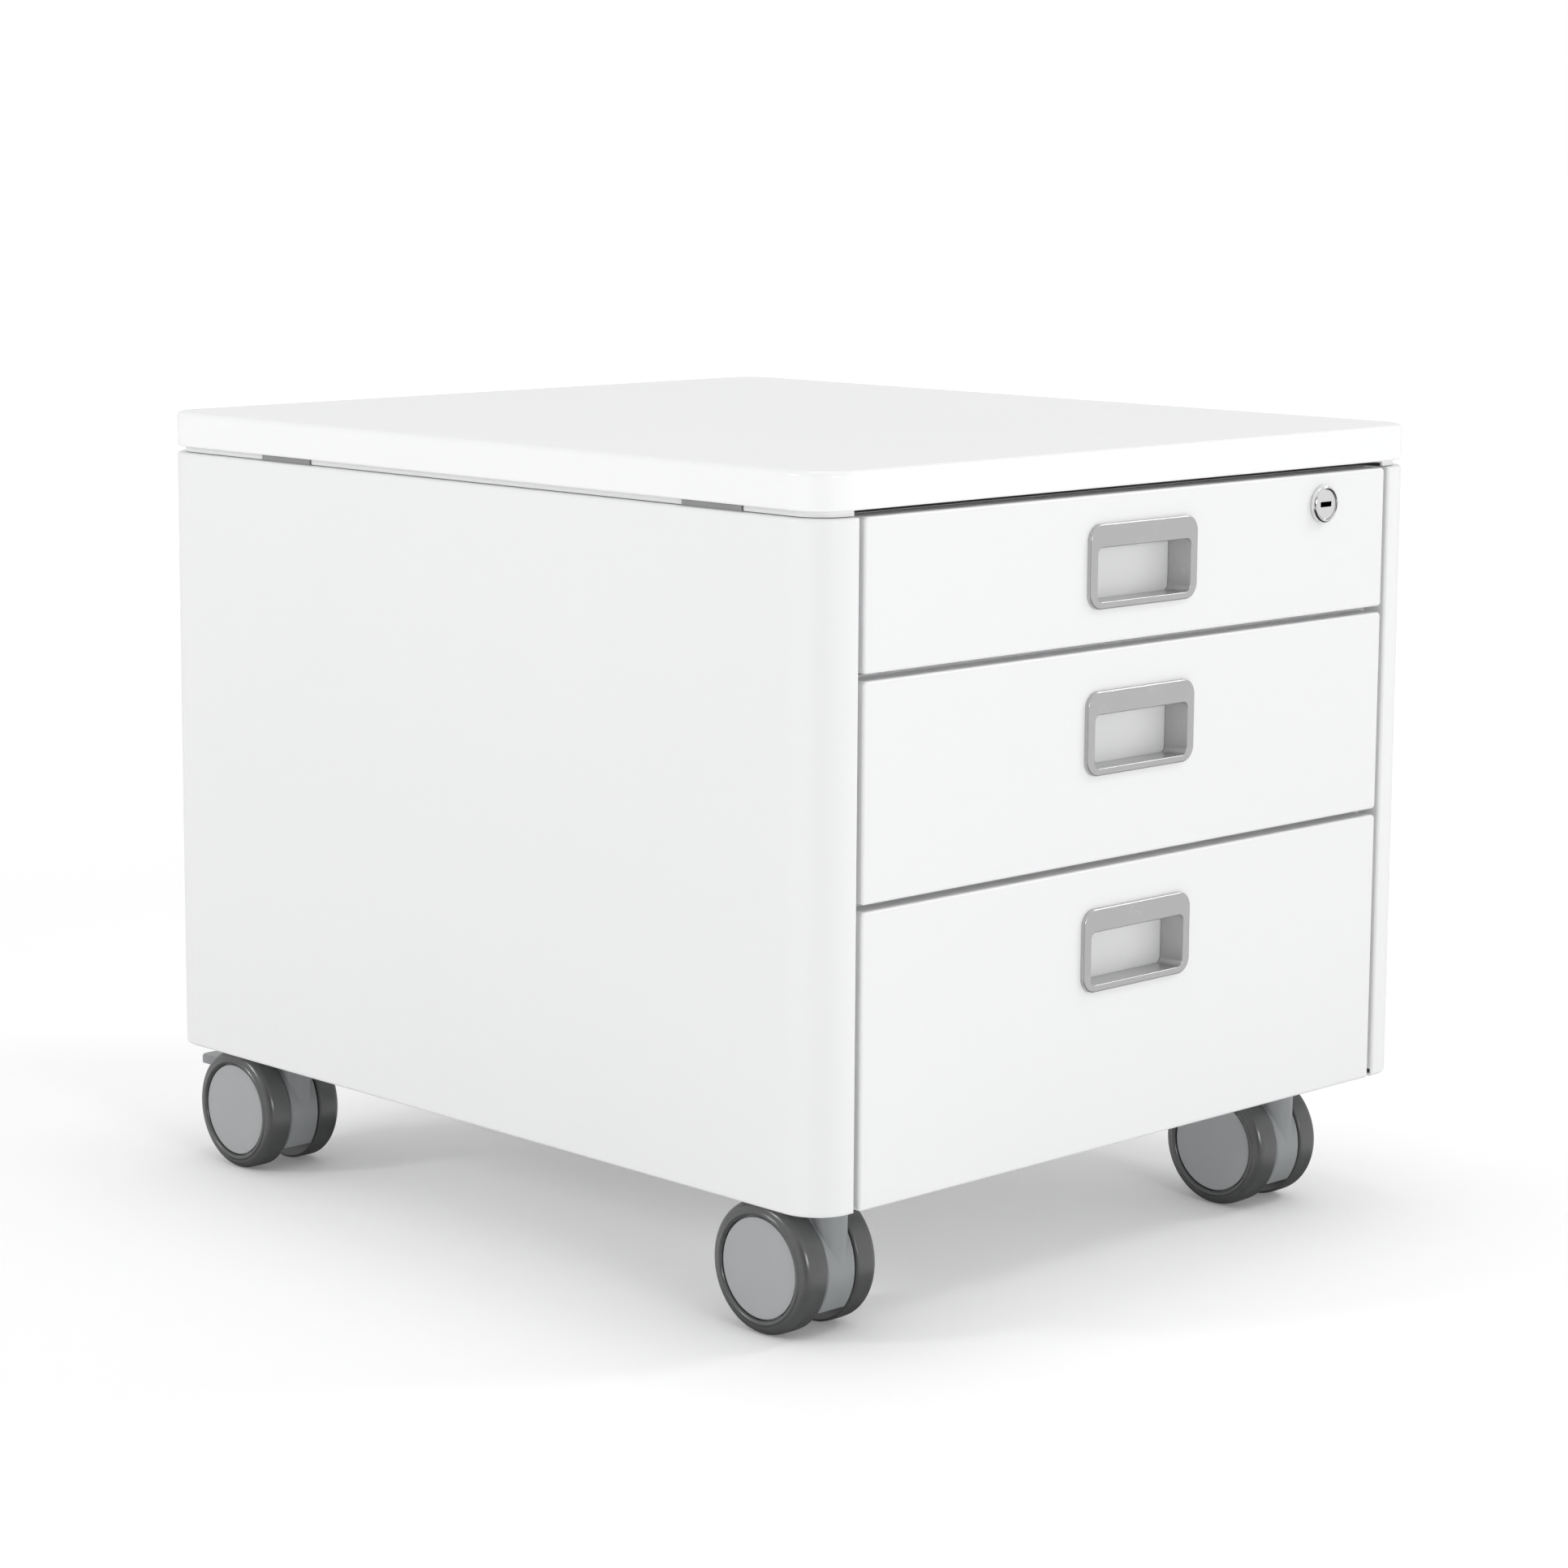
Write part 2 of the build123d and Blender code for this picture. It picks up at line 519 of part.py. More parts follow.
for drawer, (front_bottom, front_top, tray_bottom, tray_top, handle_drop, slide_z) in DRAWERS.items():
    locked = front_bottom < LOCK_Z < front_top
    drawer_front(f"{drawer}_drawer_front", front_bottom, front_top, handle_drop, locked)
    handle_bezel(f"{drawer}_handle_bezel", front_top, handle_drop)
    drawer_tray(f"{drawer}_drawer_tray", front_bottom, front_top, tray_bottom, tray_top, locked)
    with BuildPart() as screws:
        for x, z in front_screw_places(drawer):
            pan_screw(x, z, WALL_Y + TRAY_SHEET, 1)
    finish(screws, f"{drawer}_front_screws")
    with BuildPart() as middle_members:
        for side in (-1, 1):
            slide_channel(side, 3.0, 11.0, MIDDLE_HALF, True, slide_z)
    finish(middle_members, f"{drawer}_middle_slides")
    with BuildPart() as inner_members:
        for side in (-1, 1):
            slide_channel(side, 5.2, SLIDE_SPACE, INNER_HALF, False, slide_z)
    finish(inner_members, f"{drawer}_inner_slides")


# ---------------------------------------------------------------- cam lock

RING_Y = FRONT_Y - LOCK_RING_PROUD
HEAD_BACK_Y = FRONT_Y + SHEET / 2
CAM_FRONT_Y = LOCK_BARREL_END_Y + CAM_CLEARANCE
CAM_BACK_Y = CAM_FRONT_Y + CAM_THICKNESS

with BuildPart() as lock_barrel:
    rod_y(LOCK_X, LOCK_Z, LOCK_RING_R, FRONT_Y, RING_Y)
    chamfer(lock_barrel.faces().sort_by(Axis.Y)[0].edges(), SHEET / 2)
    rod_y(LOCK_X, LOCK_Z, LOCK_BARREL_R, FRONT_Y, LOCK_BARREL_END_Y)
    rod_y(LOCK_X, LOCK_Z, LOCK_HEAD_R + RUNNING, HEAD_BACK_Y, RING_Y, mode=Mode.SUBTRACT)
    rod_y(LOCK_X, LOCK_Z, LOCK_SHAFT_R + RUNNING, HEAD_BACK_Y, LOCK_BARREL_END_Y, mode=Mode.SUBTRACT)
finish(lock_barrel, "lock_barrel")

with BuildPart() as lock_nut:
    nut_y = WALL_Y + TRAY_SHEET
    with BuildSketch(at_y(nut_y)):
        with Locations((LOCK_X, LOCK_Z)):
            RegularPolygon(LOCK_BARREL_R + LOCK_RING_PROUD, 6)
            Circle(LOCK_BARREL_R + RUNNING, mode=Mode.SUBTRACT)
    extrude(amount=-LOCK_RING_PROUD)
finish(lock_nut, "lock_nut")

with BuildPart() as lock_plug:
    head_y = RING_Y + LOCK_HEAD_SUNK
    rod_y(LOCK_X, LOCK_Z, LOCK_HEAD_R, HEAD_BACK_Y - RUNNING, head_y)
    chamfer(lock_plug.faces().sort_by(Axis.Y)[0].edges(), CAM_CLEARANCE)
    rod_y(LOCK_X, LOCK_Z, LOCK_SHAFT_R, HEAD_BACK_Y - RUNNING, CAM_BACK_Y)
    rod_y(LOCK_X, LOCK_Z, LOCK_SHAFT_R + CAM_THICKNESS, CAM_BACK_Y, CAM_BACK_Y + CAM_THICKNESS)
    slot_width, slot_height, slot_depth = KEY_SLOT
    slot_x = (LOCK_X - slot_width / 2, LOCK_X + slot_width / 2)
    slot_z = (LOCK_Z - slot_height / 2, LOCK_Z + slot_height / 2)
    block(slot_x, (head_y, head_y + slot_depth), slot_z, mode=Mode.SUBTRACT)
finish(lock_plug, "lock_plug")

with BuildPart() as lock_cam:
    with BuildSketch(at_y(CAM_BACK_Y)) as cam_plan:
        with Locations((LOCK_X, LOCK_Z)):
            Circle(CAM_WIDTH / 2 + CAM_THICKNESS)
        with Locations((LOCK_X - CAM_LENGTH / 2, LOCK_Z)):
            Rectangle(CAM_LENGTH, CAM_WIDTH)
        fillet(cam_plan.vertices().group_by(Axis.X)[0], CAM_TIP_R)
        with Locations((LOCK_X, LOCK_Z)):
            Circle(LOCK_SHAFT_R + RUNNING, mode=Mode.SUBTRACT)
    extrude(amount=CAM_THICKNESS)
finish(lock_cam, "lock_cam")


# ---------------------------------------------------------------- casters

STEM_TOP = BASE_TOP + NUT_HEIGHT
NECK_TOP = BODY_BOTTOM - SWIVEL_GAP

with BuildPart() as caster_stems:
    for x, y, _ in CASTERS.values():
        with BuildSketch(Plane.XY.offset(NECK_TOP - STEM_DEPTH)):
            with Locations((x, y)):
                Circle(STEM_R)
        extrude(amount=STEM_TOP - NECK_TOP + STEM_DEPTH)
        with BuildSketch(Plane.XY.offset(BASE_BOTTOM)):
            with Locations((x, y)):
                Circle(STEM_FLANGE_R)
        extrude(amount=-STEM_FLANGE_THICKNESS)
        with BuildSketch(Plane.XY.offset(BASE_TOP)):
            with Locations((x, y)):
                RegularPolygon(NUT_FLATS / 2, 6, major_radius=False, rotation=30)
        extrude(amount=NUT_HEIGHT)
finish(caster_stems, "caster_stems")


def caster_housing(name, x, stem_y, with_brake):
    """The swivelling body between the wheels: a round fender, flat underneath, and a neck for the stem."""
    axle_y = stem_y + TRAIL
    with BuildPart() as housing:
        rod_x(axle_y, AXLE_Z, HOUSING_R, x - HOUSING_HALF, x + HOUSING_HALF)
        cut_top = AXLE_Z - HOUSING_CUT
        below = (axle_y - HOUSING_R, axle_y + HOUSING_R)
        block((x - HOUSING_HALF, x + HOUSING_HALF), below, (0, cut_top), mode=Mode.SUBTRACT)
        fillet(housing.edges().filter_by(GeomType.CIRCLE), EDGE_R)
        with BuildSketch(Plane.XY.offset(AXLE_Z)):
            with Locations((x, stem_y)):
                Circle(NECK_R)
        extrude(amount=NECK_TOP - AXLE_Z)
        with BuildSketch(Plane.XY.offset(NECK_TOP)):
            with Locations((x, stem_y)):
                Circle(STEM_R + RUNNING)
        extrude(amount=-(STEM_DEPTH + SEAM), mode=Mode.SUBTRACT)
        rod_x(axle_y, AXLE_Z, AXLE_R + RUNNING, x - HOUSING_HALF, x + HOUSING_HALF, mode=Mode.SUBTRACT)
        if with_brake:
            slot_half = TONGUE_HALF + SLOT_SIDE
            slot_y = (axle_y + SLOT_FRONT, axle_y + HOUSING_R + EDGE_R)
            slot_z = (AXLE_Z + SLOT_BOTTOM, AXLE_Z + HOUSING_R)
            block((x - slot_half, x + slot_half), slot_y, slot_z, mode=Mode.SUBTRACT)
            pivot_y = axle_y + PEDAL_PIVOT[0]
            pivot_z = AXLE_Z + PEDAL_PIVOT[1]
            bore_half = TRUNNION_HALF + SLOT_SIDE
            bore_x = (x - bore_half, x + bore_half)
            rod_x(pivot_y, pivot_z, TRUNNION_R + RUNNING, *bore_x, mode=Mode.SUBTRACT)
    finish(housing, name)


def brake_pedal(name, x, stem_y):
    """A pedal that sticks out behind the wheels, on a tongue that turns in the housing's slot."""
    axle_y = stem_y + TRAIL
    pivot_y = axle_y + PEDAL_PIVOT[0]
    pivot_z = AXLE_Z + PEDAL_PIVOT[1]
    bottom = AXLE_Z + PEDAL_BOTTOM
    top = bottom + PEDAL_THICKNESS
    with BuildPart() as pedal:
        with BuildSketch(Plane.XY.offset(bottom)) as plan:
            with BuildLine():
                Polyline(
                    (x - PEDAL_NECK_HALF, axle_y + PEDAL_START),
                    (x + PEDAL_NECK_HALF, axle_y + PEDAL_START),
                    (x + PEDAL_HALF, axle_y + PEDAL_WIDE_START),
                    (x + PEDAL_HALF, axle_y + PEDAL_TIP),
                    (x - PEDAL_HALF, axle_y + PEDAL_TIP),
                    (x - PEDAL_HALF, axle_y + PEDAL_WIDE_START),
                    close=True,
                )
            make_face()
            fillet(plan.vertices().group_by(Axis.Y)[-1], 3 * EDGE_R)
        extrude(amount=PEDAL_THICKNESS)
        fillet(pedal.faces().sort_by(Axis.Z)[-1].edges(), SHEET)
        tongue_y = (pivot_y, axle_y + PEDAL_START + SHEET)
        block((x - TONGUE_HALF, x + TONGUE_HALF), tongue_y, (pivot_z, top - SHEET))
        rod_x(pivot_y, pivot_z, TONGUE_R, x - TONGUE_HALF, x + TONGUE_HALF)
        rod_x(pivot_y, pivot_z, TRUNNION_R, x - TRUNNION_HALF, x + TRUNNION_HALF)
    finish(pedal, name)


def tyre(name, x, axle_y, side):
    """A solid tyre with a full outer shoulder and a tighter inner one."""
    outer_x = x + side * CASTER_HALF
    inner_x = outer_x - side * TYRE_WIDTH
    outward = Axis.X if side > 0 else -Axis.X
    with BuildPart() as ring:
        rod_x(axle_y, AXLE_Z, TYRE_R, inner_x, outer_x)
        fillet(ring.faces().sort_by(outward)[-1].edges(), TYRE_OUTER_FILLET)
        fillet(ring.faces().sort_by(outward)[0].edges(), TYRE_INNER_FILLET)
        rod_x(axle_y, AXLE_Z, TYRE_BORE_R, inner_x - side, outer_x + side, mode=Mode.SUBTRACT)
    finish(ring, name)


def wheel_hub(name, x, axle_y, side):
    """The wheel's hub: a plain disc outside, a groove round it, and a recessed back round the axle boss."""
    face_x = x + side * (CASTER_HALF - HUB_FACE_SUNK)
    rim_x = face_x - side * HUB_GROOVE
    back_x = x + side * (CASTER_HALF - TYRE_WIDTH + HUB_FACE_SUNK)
    outward = Axis.X if side > 0 else -Axis.X
    with BuildPart() as hub:
        rod_x(axle_y, AXLE_Z, HUB_FACE_R, rim_x, face_x)
        fillet(hub.faces().sort_by(outward)[-1].edges(), SLIDE_PLAY)
        rod_x(axle_y, AXLE_Z, TYRE_BORE_R - RUNNING, back_x, rim_x)
        with BuildSketch(at_x(back_x)):
            with Locations((axle_y, AXLE_Z)):
                Circle(TYRE_BORE_R - 2 * HUB_GROOVE)
                Circle(3 * AXLE_R, mode=Mode.SUBTRACT)
        extrude(amount=side * HUB_BACK_RECESS, mode=Mode.SUBTRACT)
        rod_x(axle_y, AXLE_Z, AXLE_R + RUNNING, back_x, x + side * (AXLE_HALF + SEAM), mode=Mode.SUBTRACT)
    finish(hub, name)


for corner, (x, stem_y, with_brake) in CASTERS.items():
    axle_y = stem_y + TRAIL
    caster_housing(f"{corner}_caster_housing", x, stem_y, with_brake)
    with BuildPart() as axle:
        rod_x(axle_y, AXLE_Z, AXLE_R, x - AXLE_HALF, x + AXLE_HALF)
    finish(axle, f"{corner}_axle")
    outer_side = 1 if x > 0 else -1
    for place, side in (("outer", outer_side), ("inner", -outer_side)):
        tyre(f"{corner}_{place}_tyre", x, axle_y, side)
        wheel_hub(f"{corner}_{place}_hub", x, axle_y, side)
    if with_brake:
        brake_pedal(f"{corner}_brake_pedal", x, stem_y)
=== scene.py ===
"""Looks of the low drawer pedestal: finishes, turned and moulded pieces, studio light and camera."""

import json
import logging
import math
from dataclasses import dataclass, field
from enum import Enum
from typing import Any, Iterable, Sequence

import bpy
import numpy as np
from mathutils import Matrix, Vector

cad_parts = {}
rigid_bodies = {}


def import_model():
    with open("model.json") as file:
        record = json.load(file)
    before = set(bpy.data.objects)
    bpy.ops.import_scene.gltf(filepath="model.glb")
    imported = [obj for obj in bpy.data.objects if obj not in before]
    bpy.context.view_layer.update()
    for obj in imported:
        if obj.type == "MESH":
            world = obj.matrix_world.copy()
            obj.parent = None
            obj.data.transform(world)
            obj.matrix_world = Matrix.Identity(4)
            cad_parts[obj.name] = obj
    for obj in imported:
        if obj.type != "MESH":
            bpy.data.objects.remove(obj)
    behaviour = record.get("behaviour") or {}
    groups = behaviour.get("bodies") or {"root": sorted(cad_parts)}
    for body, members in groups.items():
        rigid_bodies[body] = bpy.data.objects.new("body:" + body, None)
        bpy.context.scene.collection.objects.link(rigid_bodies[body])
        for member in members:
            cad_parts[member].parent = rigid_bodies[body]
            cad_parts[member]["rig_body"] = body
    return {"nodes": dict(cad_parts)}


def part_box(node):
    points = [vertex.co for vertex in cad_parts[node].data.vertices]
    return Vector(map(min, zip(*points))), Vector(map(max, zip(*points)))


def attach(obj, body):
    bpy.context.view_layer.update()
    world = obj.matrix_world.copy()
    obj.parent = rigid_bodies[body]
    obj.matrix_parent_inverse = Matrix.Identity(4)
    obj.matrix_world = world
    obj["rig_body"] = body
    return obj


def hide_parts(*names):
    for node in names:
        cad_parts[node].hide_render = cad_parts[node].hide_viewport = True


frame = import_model()

LOG = logging.getLogger("pedestal")
MM = 0.001
# Mesh attribute that marks where painted shade darkens and dulls a metal: the inside of the key
# slot.
KEYWAY_SHADE = "keyway_shade"
DRAWERS = ("top", "middle", "bottom")
CORNERS = ("front_left", "front_right", "rear_left", "rear_right")
Array = np.ndarray
Colour = tuple[float, float, float]


# ---------------------------------------------------------------- shader maths


class Channel:
    """A number that varies over a surface.

    It wraps a node socket on which Python's operators add Math nodes.
    """

    def __init__(self, shader: "NodeTree", socket: bpy.types.NodeSocket) -> None:
        """Keeps the socket and the shader that new nodes go to."""
        self.shader = shader
        self.socket = socket

    def _maths(self, operation: str, *values: "Channel | float") -> "Channel":
        """Adds one Math node.

        Args:
            operation: the Math node's operation.
            values: its inputs in order, numbers or channels.

        Returns:
            The node's result.
        """
        node = self.shader.node("ShaderNodeMath", {"operation": operation}, values)
        return Channel(self.shader, node.outputs[0])

    def __add__(self, other: "Channel | float") -> "Channel":
        """self + other."""
        return self._maths("ADD", self, other)

    def __radd__(self, other: float) -> "Channel":
        """other + self."""
        return self._maths("ADD", other, self)

    def __sub__(self, other: "Channel | float") -> "Channel":
        """self - other."""
        return self._maths("SUBTRACT", self, other)

    def __rsub__(self, other: float) -> "Channel":
        """other - self."""
        return self._maths("SUBTRACT", other, self)

    def __mul__(self, other: "Channel | float") -> "Channel":
        """self * other."""
        return self._maths("MULTIPLY", self, other)

    def __rmul__(self, other: float) -> "Channel":
        """other * self."""
        return self._maths("MULTIPLY", other, self)

    def __truediv__(self, other: "Channel | float") -> "Channel":
        """self / other."""
        return self._maths("DIVIDE", self, other)

    def clamped(self) -> "Channel":
        """self held between 0 and 1."""
        return self._maths("MINIMUM", self._maths("MAXIMUM", self, 0.0), 1.0)


class NodeTree:
    """A node tree with one way of adding nodes."""

    def __init__(self, tree: bpy.types.NodeTree) -> None:
        """Empties the tree and keeps it."""
        self.tree = tree
        self.tree.nodes.clear()

    def node(
        self,
        kind: str,
        settings: dict[str, Any] | None = None,
        inputs: dict[str, Any] | Sequence[Any] = (),
    ) -> bpy.types.Node:
        """Adds a node of any type.

        Args:
            kind: the node's type.
            settings: properties of the node, set before its sockets.
            inputs: values or links of its sockets, by name or in order.

        Returns:
            The new node.
        """
        made = self.tree.nodes.new(kind)
        for key, value in (settings or {}).items():
            setattr(made, key, value)
        pairs = inputs.items() if isinstance(inputs, dict) else enumerate(inputs)
        for key, value in pairs:
            self.put(made.inputs[key], value)
        return made

    def put(self, socket: bpy.types.NodeSocket, value: Any) -> None:
        """Links a channel or socket to an input, or sets the input's value.

        Args:
            socket: the input.
            value: a channel, an output socket, a number or a colour.
        """
        if isinstance(value, Channel):
            value = value.socket
        if isinstance(value, bpy.types.NodeSocket):
            self.tree.links.new(value, socket)
        elif isinstance(value, tuple) and len(value) == 3 and socket.type == "RGBA":
            socket.default_value = (*value, 1.0)
        else:
            socket.default_value = value


class Shader(NodeTree):
    """One material's node tree, built round a Principled shader."""

    def __init__(self, name: str) -> None:
        """Starts an empty material.

        Args:
            name: the material's name.
        """
        self.material = bpy.data.materials.new(name)
        self.material.use_nodes = True
        super().__init__(self.material.node_tree)
        self.principled = self.node("ShaderNodeBsdfPrincipled")
        self.node("ShaderNodeOutputMaterial", {}, {"Surface": self.principled.outputs[0]})
        self.place = self.node("ShaderNodeTexCoord").outputs["Object"]

    def stretched(self, scale: tuple[float, float, float]) -> bpy.types.NodeSocket:
        """Object coordinates in metres times a scale along each axis."""
        return self.node("ShaderNodeMapping", {}, {"Vector": self.place, "Scale": scale}).outputs[0]

    def noise(
        self,
        scale: float,
        detail: float = 2.0,
        roughness: float = 0.5,
        place: bpy.types.NodeSocket | None = None,
    ) -> Channel:
        """Fractal noise over the object.

        Args:
            scale: grains per metre.
            detail: number of octaves.
            roughness: weight of the finer octaves.
            place: coordinates, or None for object coordinates.

        Returns:
            The noise from 0 to 1.
        """
        inputs = {
            "Vector": place or self.place,
            "Scale": scale,
            "Detail": detail,
            "Roughness": roughness,
        }
        return Channel(self, self.node("ShaderNodeTexNoise", {}, inputs).outputs["Fac"])

    def cells(self, scale: float, place: bpy.types.NodeSocket | None = None) -> Channel:
        """Distance field of a cell pattern: how far each point is from the nearest cell's middle.

        Args:
            scale: cells per metre.
            place: coordinates, or None for object coordinates.

        Returns:
            The distance.
        """
        inputs = {"Vector": place or self.place, "Scale": scale}
        made = self.node("ShaderNodeTexVoronoi", {"feature": "F1"}, inputs)
        return Channel(self, made.outputs["Distance"])

    def attribute(self, name: str) -> Channel:
        """A number stored on the mesh's points, 0 where the mesh has none of that name."""
        made = self.node("ShaderNodeAttribute", {"attribute_name": name})
        return Channel(self, made.outputs["Fac"])

    def between(self, low: Any, high: Any, amount: Channel) -> bpy.types.NodeSocket:
        """A colour that goes from low to high as amount goes from 0 to 1.

        Args:
            low: colour at 0.
            high: colour at 1.
            amount: the share of high.

        Returns:
            The colour's socket.
        """
        # A Mix node's colours are its inputs 6 and 7 and its output 2; the rest mix other kinds.
        made = self.node("ShaderNodeMix", {"data_type": "RGBA"})
        self.put(made.inputs[0], amount)
        self.put(made.inputs[6], low)
        self.put(made.inputs[7], high)
        return made.outputs[2]

    def bump(self, height: Channel, depth: float, strength: float = 1.0, under: Any = None) -> Any:
        """A normal bent by a height field.

        Args:
            height: the field, from 0 to 1.
            depth: its full height in metres.
            strength: share of the effect.
            under: a normal that this one is added to.

        Returns:
            The normal's socket.
        """
        inputs = {"Height": height, "Distance": depth, "Strength": strength}
        if under is not None:
            inputs["Normal"] = under
        return self.node("ShaderNodeBump", {}, inputs).outputs[0]

    def surface(self, **inputs: Any) -> bpy.types.Material:
        """Sets the Principled shader's sockets.

        Args:
            inputs: values of the sockets, named with underscores for spaces.

        Returns:
            The finished material.
        """
        for key, value in inputs.items():
            self.put(self.principled.inputs[key.replace("_", " ")], value)
        return self.material


# ---------------------------------------------------------------- finishes
# A pattern's size is given as grains per metre, along each axis where it is stretched. Depths are
# in metres.


@dataclass(frozen=True)
class PowderCoat:
    """Baked white powder paint on sheet steel: a soft gloss over a fine orange-peel surface."""

    colour: Colour = (0.858, 0.86, 0.864)
    deeper: Colour = (0.846, 0.849, 0.855)
    gloss: float = 0.26
    peel: float = 620.0
    peel_depth: float = 0.00006
    cloud: float = 4.0

    def build(self, name: str) -> bpy.types.Material:
        """Makes the material: cloudy tone, uneven gloss, orange peel with fine dust grains on it.

        Args:
            name: the material's name.

        Returns:
            The material.
        """
        shader = Shader(name)
        cloud = shader.noise(self.cloud, 2.0)
        waves = shader.noise(self.peel, 1.0)
        grains = shader.noise(self.peel * 4.5, 2.0)
        coarse = shader.bump(waves, self.peel_depth, 0.5)
        return shader.surface(
            Base_Color=shader.between(self.deeper, self.colour, cloud * 1.6 - 0.3),
            Roughness=cloud * 0.03 + grains * 0.05 + (self.gloss - 0.04),
            Normal=shader.bump(grains, self.peel_depth / 5, 0.35, coarse),
            IOR=1.5,
        )


@dataclass(frozen=True)
class RolledZinc:
    """Zinc-plated rolled steel: bright, faintly bluish, with rolling lines and cloudy patches."""

    colour: Colour = (0.66, 0.665, 0.672)
    deeper: Colour = (0.57, 0.575, 0.583)
    gloss: float = 0.3
    patch: float = 160.0
    rolled: tuple[float, float, float] = (1800.0, 14.0, 1800.0)
    line_depth: float = 0.00002

    def build(self, name: str) -> bpy.types.Material:
        """Makes the material: rolling lines along Y, patches a few millimetres wide.

        Args:
            name: the material's name.

        Returns:
            The material.
        """
        shader = Shader(name)
        patches = shader.noise(self.patch, 3.0, 0.6)
        lines = shader.noise(1.0, 3.0, 0.6, shader.stretched(self.rolled))
        return shader.surface(
            Base_Color=shader.between(self.deeper, self.colour, patches * 1.5 - 0.2),
            Roughness=patches * 0.2 + lines * 0.12 + (self.gloss - 0.12),
            Metallic=1.0,
            Normal=shader.bump(lines, self.line_depth, 0.4),
        )


@dataclass(frozen=True)
class MouldedPlastic:
    """Injection-moulded plastic with a fine spark-eroded grain and a faint flow mottle."""

    colour: Colour
    deeper: Colour
    gloss: float = 0.42
    grain: float = 2600.0
    grain_depth: float = 0.000025
    metal_share: float = 0.0
    mottle: float = 70.0

    def build(self, name: str) -> bpy.types.Material:
        """Makes the material: mottle in the tone, grain in the gloss and the surface.

        Args:
            name: the material's name.

        Returns:
            The material.
        """
        shader = Shader(name)
        mottle = shader.noise(self.mottle, 3.0, 0.55)
        grain = shader.noise(self.grain, 2.0, 0.6)
        pits = shader.cells(self.grain * 0.6)
        tone = mottle * 1.4 - 0.1 + (grain - 0.5) * 0.25
        return shader.surface(
            Base_Color=shader.between(self.deeper, self.colour, tone),
            Roughness=mottle * 0.06 + grain * 0.1 + (self.gloss - 0.08),
            Metallic=self.metal_share,
            Normal=shader.bump(grain * 0.6 + pits * 0.4, self.grain_depth, 0.5),
        )


@dataclass(frozen=True)
class PolishedMetal:
    """Plated and polished metal with hairline marks from handling."""

    colour: Colour
    deeper: Colour
    gloss: float = 0.08
    hair_depth: float = 0.000002
    # Painted shade: the near-black colour and the dulling that marked points take, for the shade
    # deep in the key slot.
    shade_colour: Colour = (0.004, 0.004, 0.004)
    shade_dulling: float = 0.5
    haze: float = 240.0
    brushed: tuple[float, float, float] = (500.0, 500.0, 9000.0)

    def build(self, name: str) -> bpy.types.Material:
        """Makes the material: hairlines and a slight haze, and painted shade, dark and dull, where
        the mesh marks it.

        Args:
            name: the material's name.

        Returns:
            The material.
        """
        shader = Shader(name)
        haze = shader.noise(self.haze, 3.0, 0.6)
        hairs = shader.noise(1.0, 2.0, 0.5, shader.stretched(self.brushed))
        # Painted shade: where the mesh marks it, the colour turns near-black and the gloss turns
        # dull.
        unshaded = 1.0 - shader.attribute(KEYWAY_SHADE)
        plating = shader.between(self.deeper, self.colour, haze)
        polish = haze * 0.05 + hairs * 0.03 + (self.gloss - 0.03)
        return shader.surface(
            Base_Color=shader.between(self.shade_colour, plating, unshaded),
            Roughness=polish + (1.0 - unshaded) * self.shade_dulling,
            Metallic=1.0,
            Normal=shader.bump(hairs, self.hair_depth, 0.3),
        )


@dataclass(frozen=True)
class WheelRubber:
    """Soft tread rubber: dark grey, satin, with dusty clouding and a skin of tiny pores."""

    colour: Colour = (0.096, 0.097, 0.098)
    deeper: Colour = (0.076, 0.077, 0.078)
    gloss: float = 0.24
    dust: float = 95.0
    pore: float = 3200.0
    pore_depth: float = 0.00002

    def build(self, name: str) -> bpy.types.Material:
        """Makes the material: dust clouds in tone and gloss, pores in the surface.

        Args:
            name: the material's name.

        Returns:
            The material.
        """
        shader = Shader(name)
        dust = shader.noise(self.dust, 4.0, 0.6)
        pores = shader.noise(self.pore, 2.0, 0.6)
        return shader.surface(
            Base_Color=shader.between(self.deeper, self.colour, dust * 1.5 - 0.25),
            Roughness=dust * 0.1 + pores * 0.06 + (self.gloss - 0.08),
            Specular_IOR_Level=0.75,
            Normal=shader.bump(pores, self.pore_depth, 0.4),
        )


@dataclass(frozen=True)
class ChipBoard:
    """Pressed chips and glue of the board inside the top."""

    colour: Colour = (0.62, 0.47, 0.30)
    deeper: Colour = (0.36, 0.25, 0.15)
    chip: tuple[float, float, float] = (260.0, 420.0, 900.0)
    fibre: tuple[float, float, float] = (300.0, 1500.0, 2500.0)
    depth: float = 0.0002

    def build(self, name: str) -> bpy.types.Material:
        """Makes the material: flat chips a few millimetres long with darker glue between them.

        Args:
            name: the material's name.

        Returns:
            The material.
        """
        shader = Shader(name)
        chips = shader.cells(1.0, shader.stretched(self.chip))
        fibres = shader.noise(1.0, 3.0, 0.6, shader.stretched(self.fibre))
        tone = (chips * 0.6 + fibres * 0.6).clamped()
        return shader.surface(
            Base_Color=shader.between(self.deeper, self.colour, tone),
            Roughness=fibres * 0.15 + 0.72,
            Normal=shader.bump(chips * 0.5 + fibres * 0.5, self.depth, 0.6),
        )


